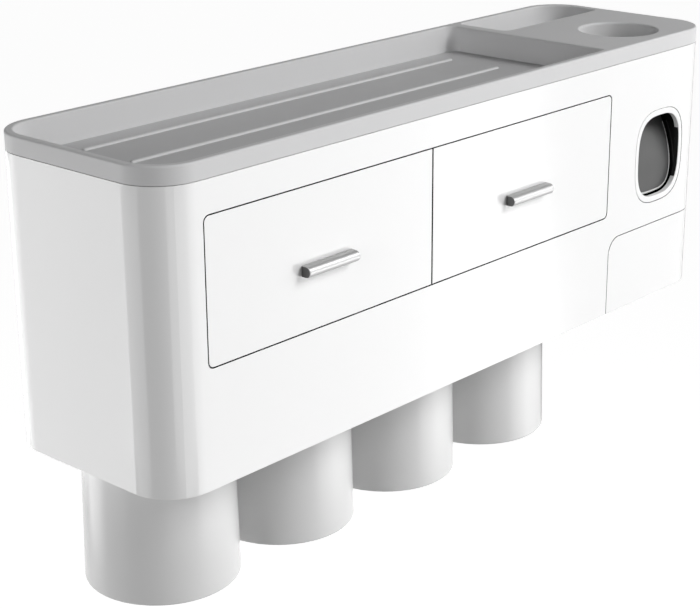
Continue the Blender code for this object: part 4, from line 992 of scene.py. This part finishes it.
silicone = plastic(
    "silicone",
    SILICONE,
    0.6,
    grain=0.8 * MM,
    depth=0.01 * MM,
    sockets={"Subsurface Weight": 0.2},
)
natural_plastic = plastic(
    "natural_plastic",
    NATURAL,
    0.35,
    grain=0.7 * MM,
    depth=0.008 * MM,
    sockets={"Subsurface Weight": 0.3},
)

seat = tube_gasket("tube_gasket", "tube_seat")
stands_for(seat, "tube_seat", "holder", silicone)
nozzle = merged_copy("paste_nozzle", "nozzle_and_duct", NOZZLE_EDGE)
stands_for(nozzle, "paste_nozzle", "holder", natural_plastic)
bellows = folded_bellows("folded_bellows", "pump_bellows")
stands_for(bellows, "pump_bellows", "holder", silicone)
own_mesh(bellows)

# Corner cover
# A gloss white moulding that wraps the front right corner below the squeezer and pulls off
# downwards; two tongues behind its upper edge catch inside the housing.

COVER_EDGE = 0.15 * MM

cover = merged_copy("dispenser_cover", "corner_cover", COVER_EDGE)
split_behind_front(cover)
# The cover's faces in its seam are painted near black: painted shade.
mark(cover, cover_seam_shade)
stands_for(cover, "dispenser_cover", "cover", gloss_white)

# Studio
# A pale floor far below the holder, soft panels of light all round it, and a black card on its
# right that only reflections show. The camera stands at the picture's angle.

WHITE = (1.0, 1.0, 1.0, 1.0)
FLOOR_Z = -1.15
FLOOR_REACH = 30.0
FLOOR_PALE = (0.25, 0.25, 0.25)
FLOOR_GLOW = 0.95
WORLD_REFLECTED = 0.4
MATT = 0.9
PANEL_DISTANCE = 2.2
PANELS = {
    # azimuth and elevation in degrees, width and height in metres, watts
    "upper_front_panel": (300, 36, 0.9, 1.05, 31.5),
    "right_panel": (330, 8, 0.9, 1.05, 10.9),
    "low_right_panel": (330, -20, 0.9, 1.05, 3.1),
    "low_front_panel": (303, -20, 1.5, 1.05, 12.4),
    "dim_front_panel": (260, -20, 1.95, 0.5, 5.2),
    "left_panel": (190, 14, 0.9, 1.05, 13.8),
    "rear_left_panel": (123, -15.5, 1.15, 1.4, 14.5),
    "left_end_panel": (158, -20, 1.6, 0.5, 3.4),
    "rear_panel": (90, -20, 1.3, 0.5, 4.5),
}
CARD_BLACK = (0.005, 0.005, 0.005)
CARD_AZIMUTH = 24.0
CARD_DISTANCE = 1.5
CARD_WIDTH = 1.06
CARD_LOW = -0.8
CARD_HIGH = 0.05
CAMERA_PLACE = (-0.62713, -0.59969, 0.22982)
CAMERA_HEADING = 47.517
CAMERA_DIP = 19.622
CAMERA_ROLL = -0.4286
CAMERA_LENS = 90.326
CAMERA_SENSOR = 36.0


def seen_directly(tree):
    """1 for rays from the camera, from a mirror or through glass, and 0 for rays that carry light."""
    camera, glossy, through = (
        Wire(tree).node("ShaderNodeLightPath", output=name)
        for name in ("Is Camera Ray", "Is Glossy Ray", "Is Transmission Ray")
    )
    return camera.maths("MAXIMUM", camera.maths("MAXIMUM", camera, glossy), through)


def backdrop(name, corners, finish):
    """A flat four-sided sheet of the studio, which is no piece of the holder."""
    mesh = bpy.data.meshes.new(name)
    mesh.from_pydata(corners, [], [(0, 1, 2, 3)])
    mesh.materials.append(finish)
    made = bpy.data.objects.new(name, mesh)
    bpy.context.scene.collection.objects.link(made)
    return made


def soft_panel(name, azimuth, elevation, width, height, power):
    """A rectangle of light that faces the holder; azimuth runs from +X towards +Y."""
    lamp = bpy.data.lights.new(name, "AREA")
    lamp.shape = "RECTANGLE"
    lamp.size = width
    lamp.size_y = height
    lamp.energy = power
    around, up = math.radians(azimuth), math.radians(elevation)
    towards = Vector((math.cos(around) * math.cos(up), math.sin(around) * math.cos(up), math.sin(up)))
    made = bpy.data.objects.new(name, lamp)
    made.location = towards * PANEL_DISTANCE
    made.rotation_euler = towards.to_track_quat("Z", "Y").to_euler()
    bpy.context.scene.collection.objects.link(made)


world = bpy.data.worlds.new("studio")
bpy.context.scene.world = world
world.use_nodes = True
background = world.node_tree.nodes["Background"]
background.inputs["Color"].default_value = WHITE
to_camera = Wire(world.node_tree).node("ShaderNodeLightPath", output="Is Camera Ray")
reflected = seen_directly(world.node_tree) * WORLD_REFLECTED
(reflected + to_camera * (1.0 - WORLD_REFLECTED)).into(background, "Strength")

floor_finish, floor_shader, _ = bare_finish("floor", FLOOR_PALE, MATT, {"Emission Color": WHITE})
(seen_directly(floor_finish.node_tree) * FLOOR_GLOW).into(floor_shader, "Emission Strength")
square = ((-1, -1), (1, -1), (1, 1), (-1, 1))
backdrop("floor", [(x * FLOOR_REACH, y * FLOOR_REACH, FLOOR_Z) for x, y in square], floor_finish)

for name, settings in PANELS.items():
    soft_panel(name, *settings)

card_finish, _, _ = bare_finish("black_card", CARD_BLACK, MATT, {})
card_turn = math.radians(CARD_AZIMUTH)
card_middle = Vector((math.cos(card_turn), math.sin(card_turn), 0)) * CARD_DISTANCE
card_side = Vector((-math.sin(card_turn), math.cos(card_turn), 0)) * CARD_WIDTH / 2
card_ends = ((1, CARD_LOW), (-1, CARD_LOW), (-1, CARD_HIGH), (1, CARD_HIGH))
card_corners = [(*(card_middle + end * card_side).xy, height) for end, height in card_ends]
card = backdrop("card", card_corners, card_finish)
card.visible_camera = False
card.visible_shadow = False

lens = bpy.data.cameras.new("camera")
lens.lens = CAMERA_LENS
lens.sensor_width = CAMERA_SENSOR
camera = bpy.data.objects.new("camera", lens)
bpy.context.scene.collection.objects.link(camera)
camera.matrix_world = (
    Matrix.Translation(CAMERA_PLACE)
    @ Matrix.Rotation(-math.radians(CAMERA_HEADING), 4, "Z")
    @ Matrix.Rotation(math.pi / 2 - math.radians(CAMERA_DIP), 4, "X")
    @ Matrix.Rotation(math.radians(CAMERA_ROLL), 4, "Z")
)
bpy.context.scene.camera = camera
bpy.context.scene.view_settings.view_transform = "Standard"
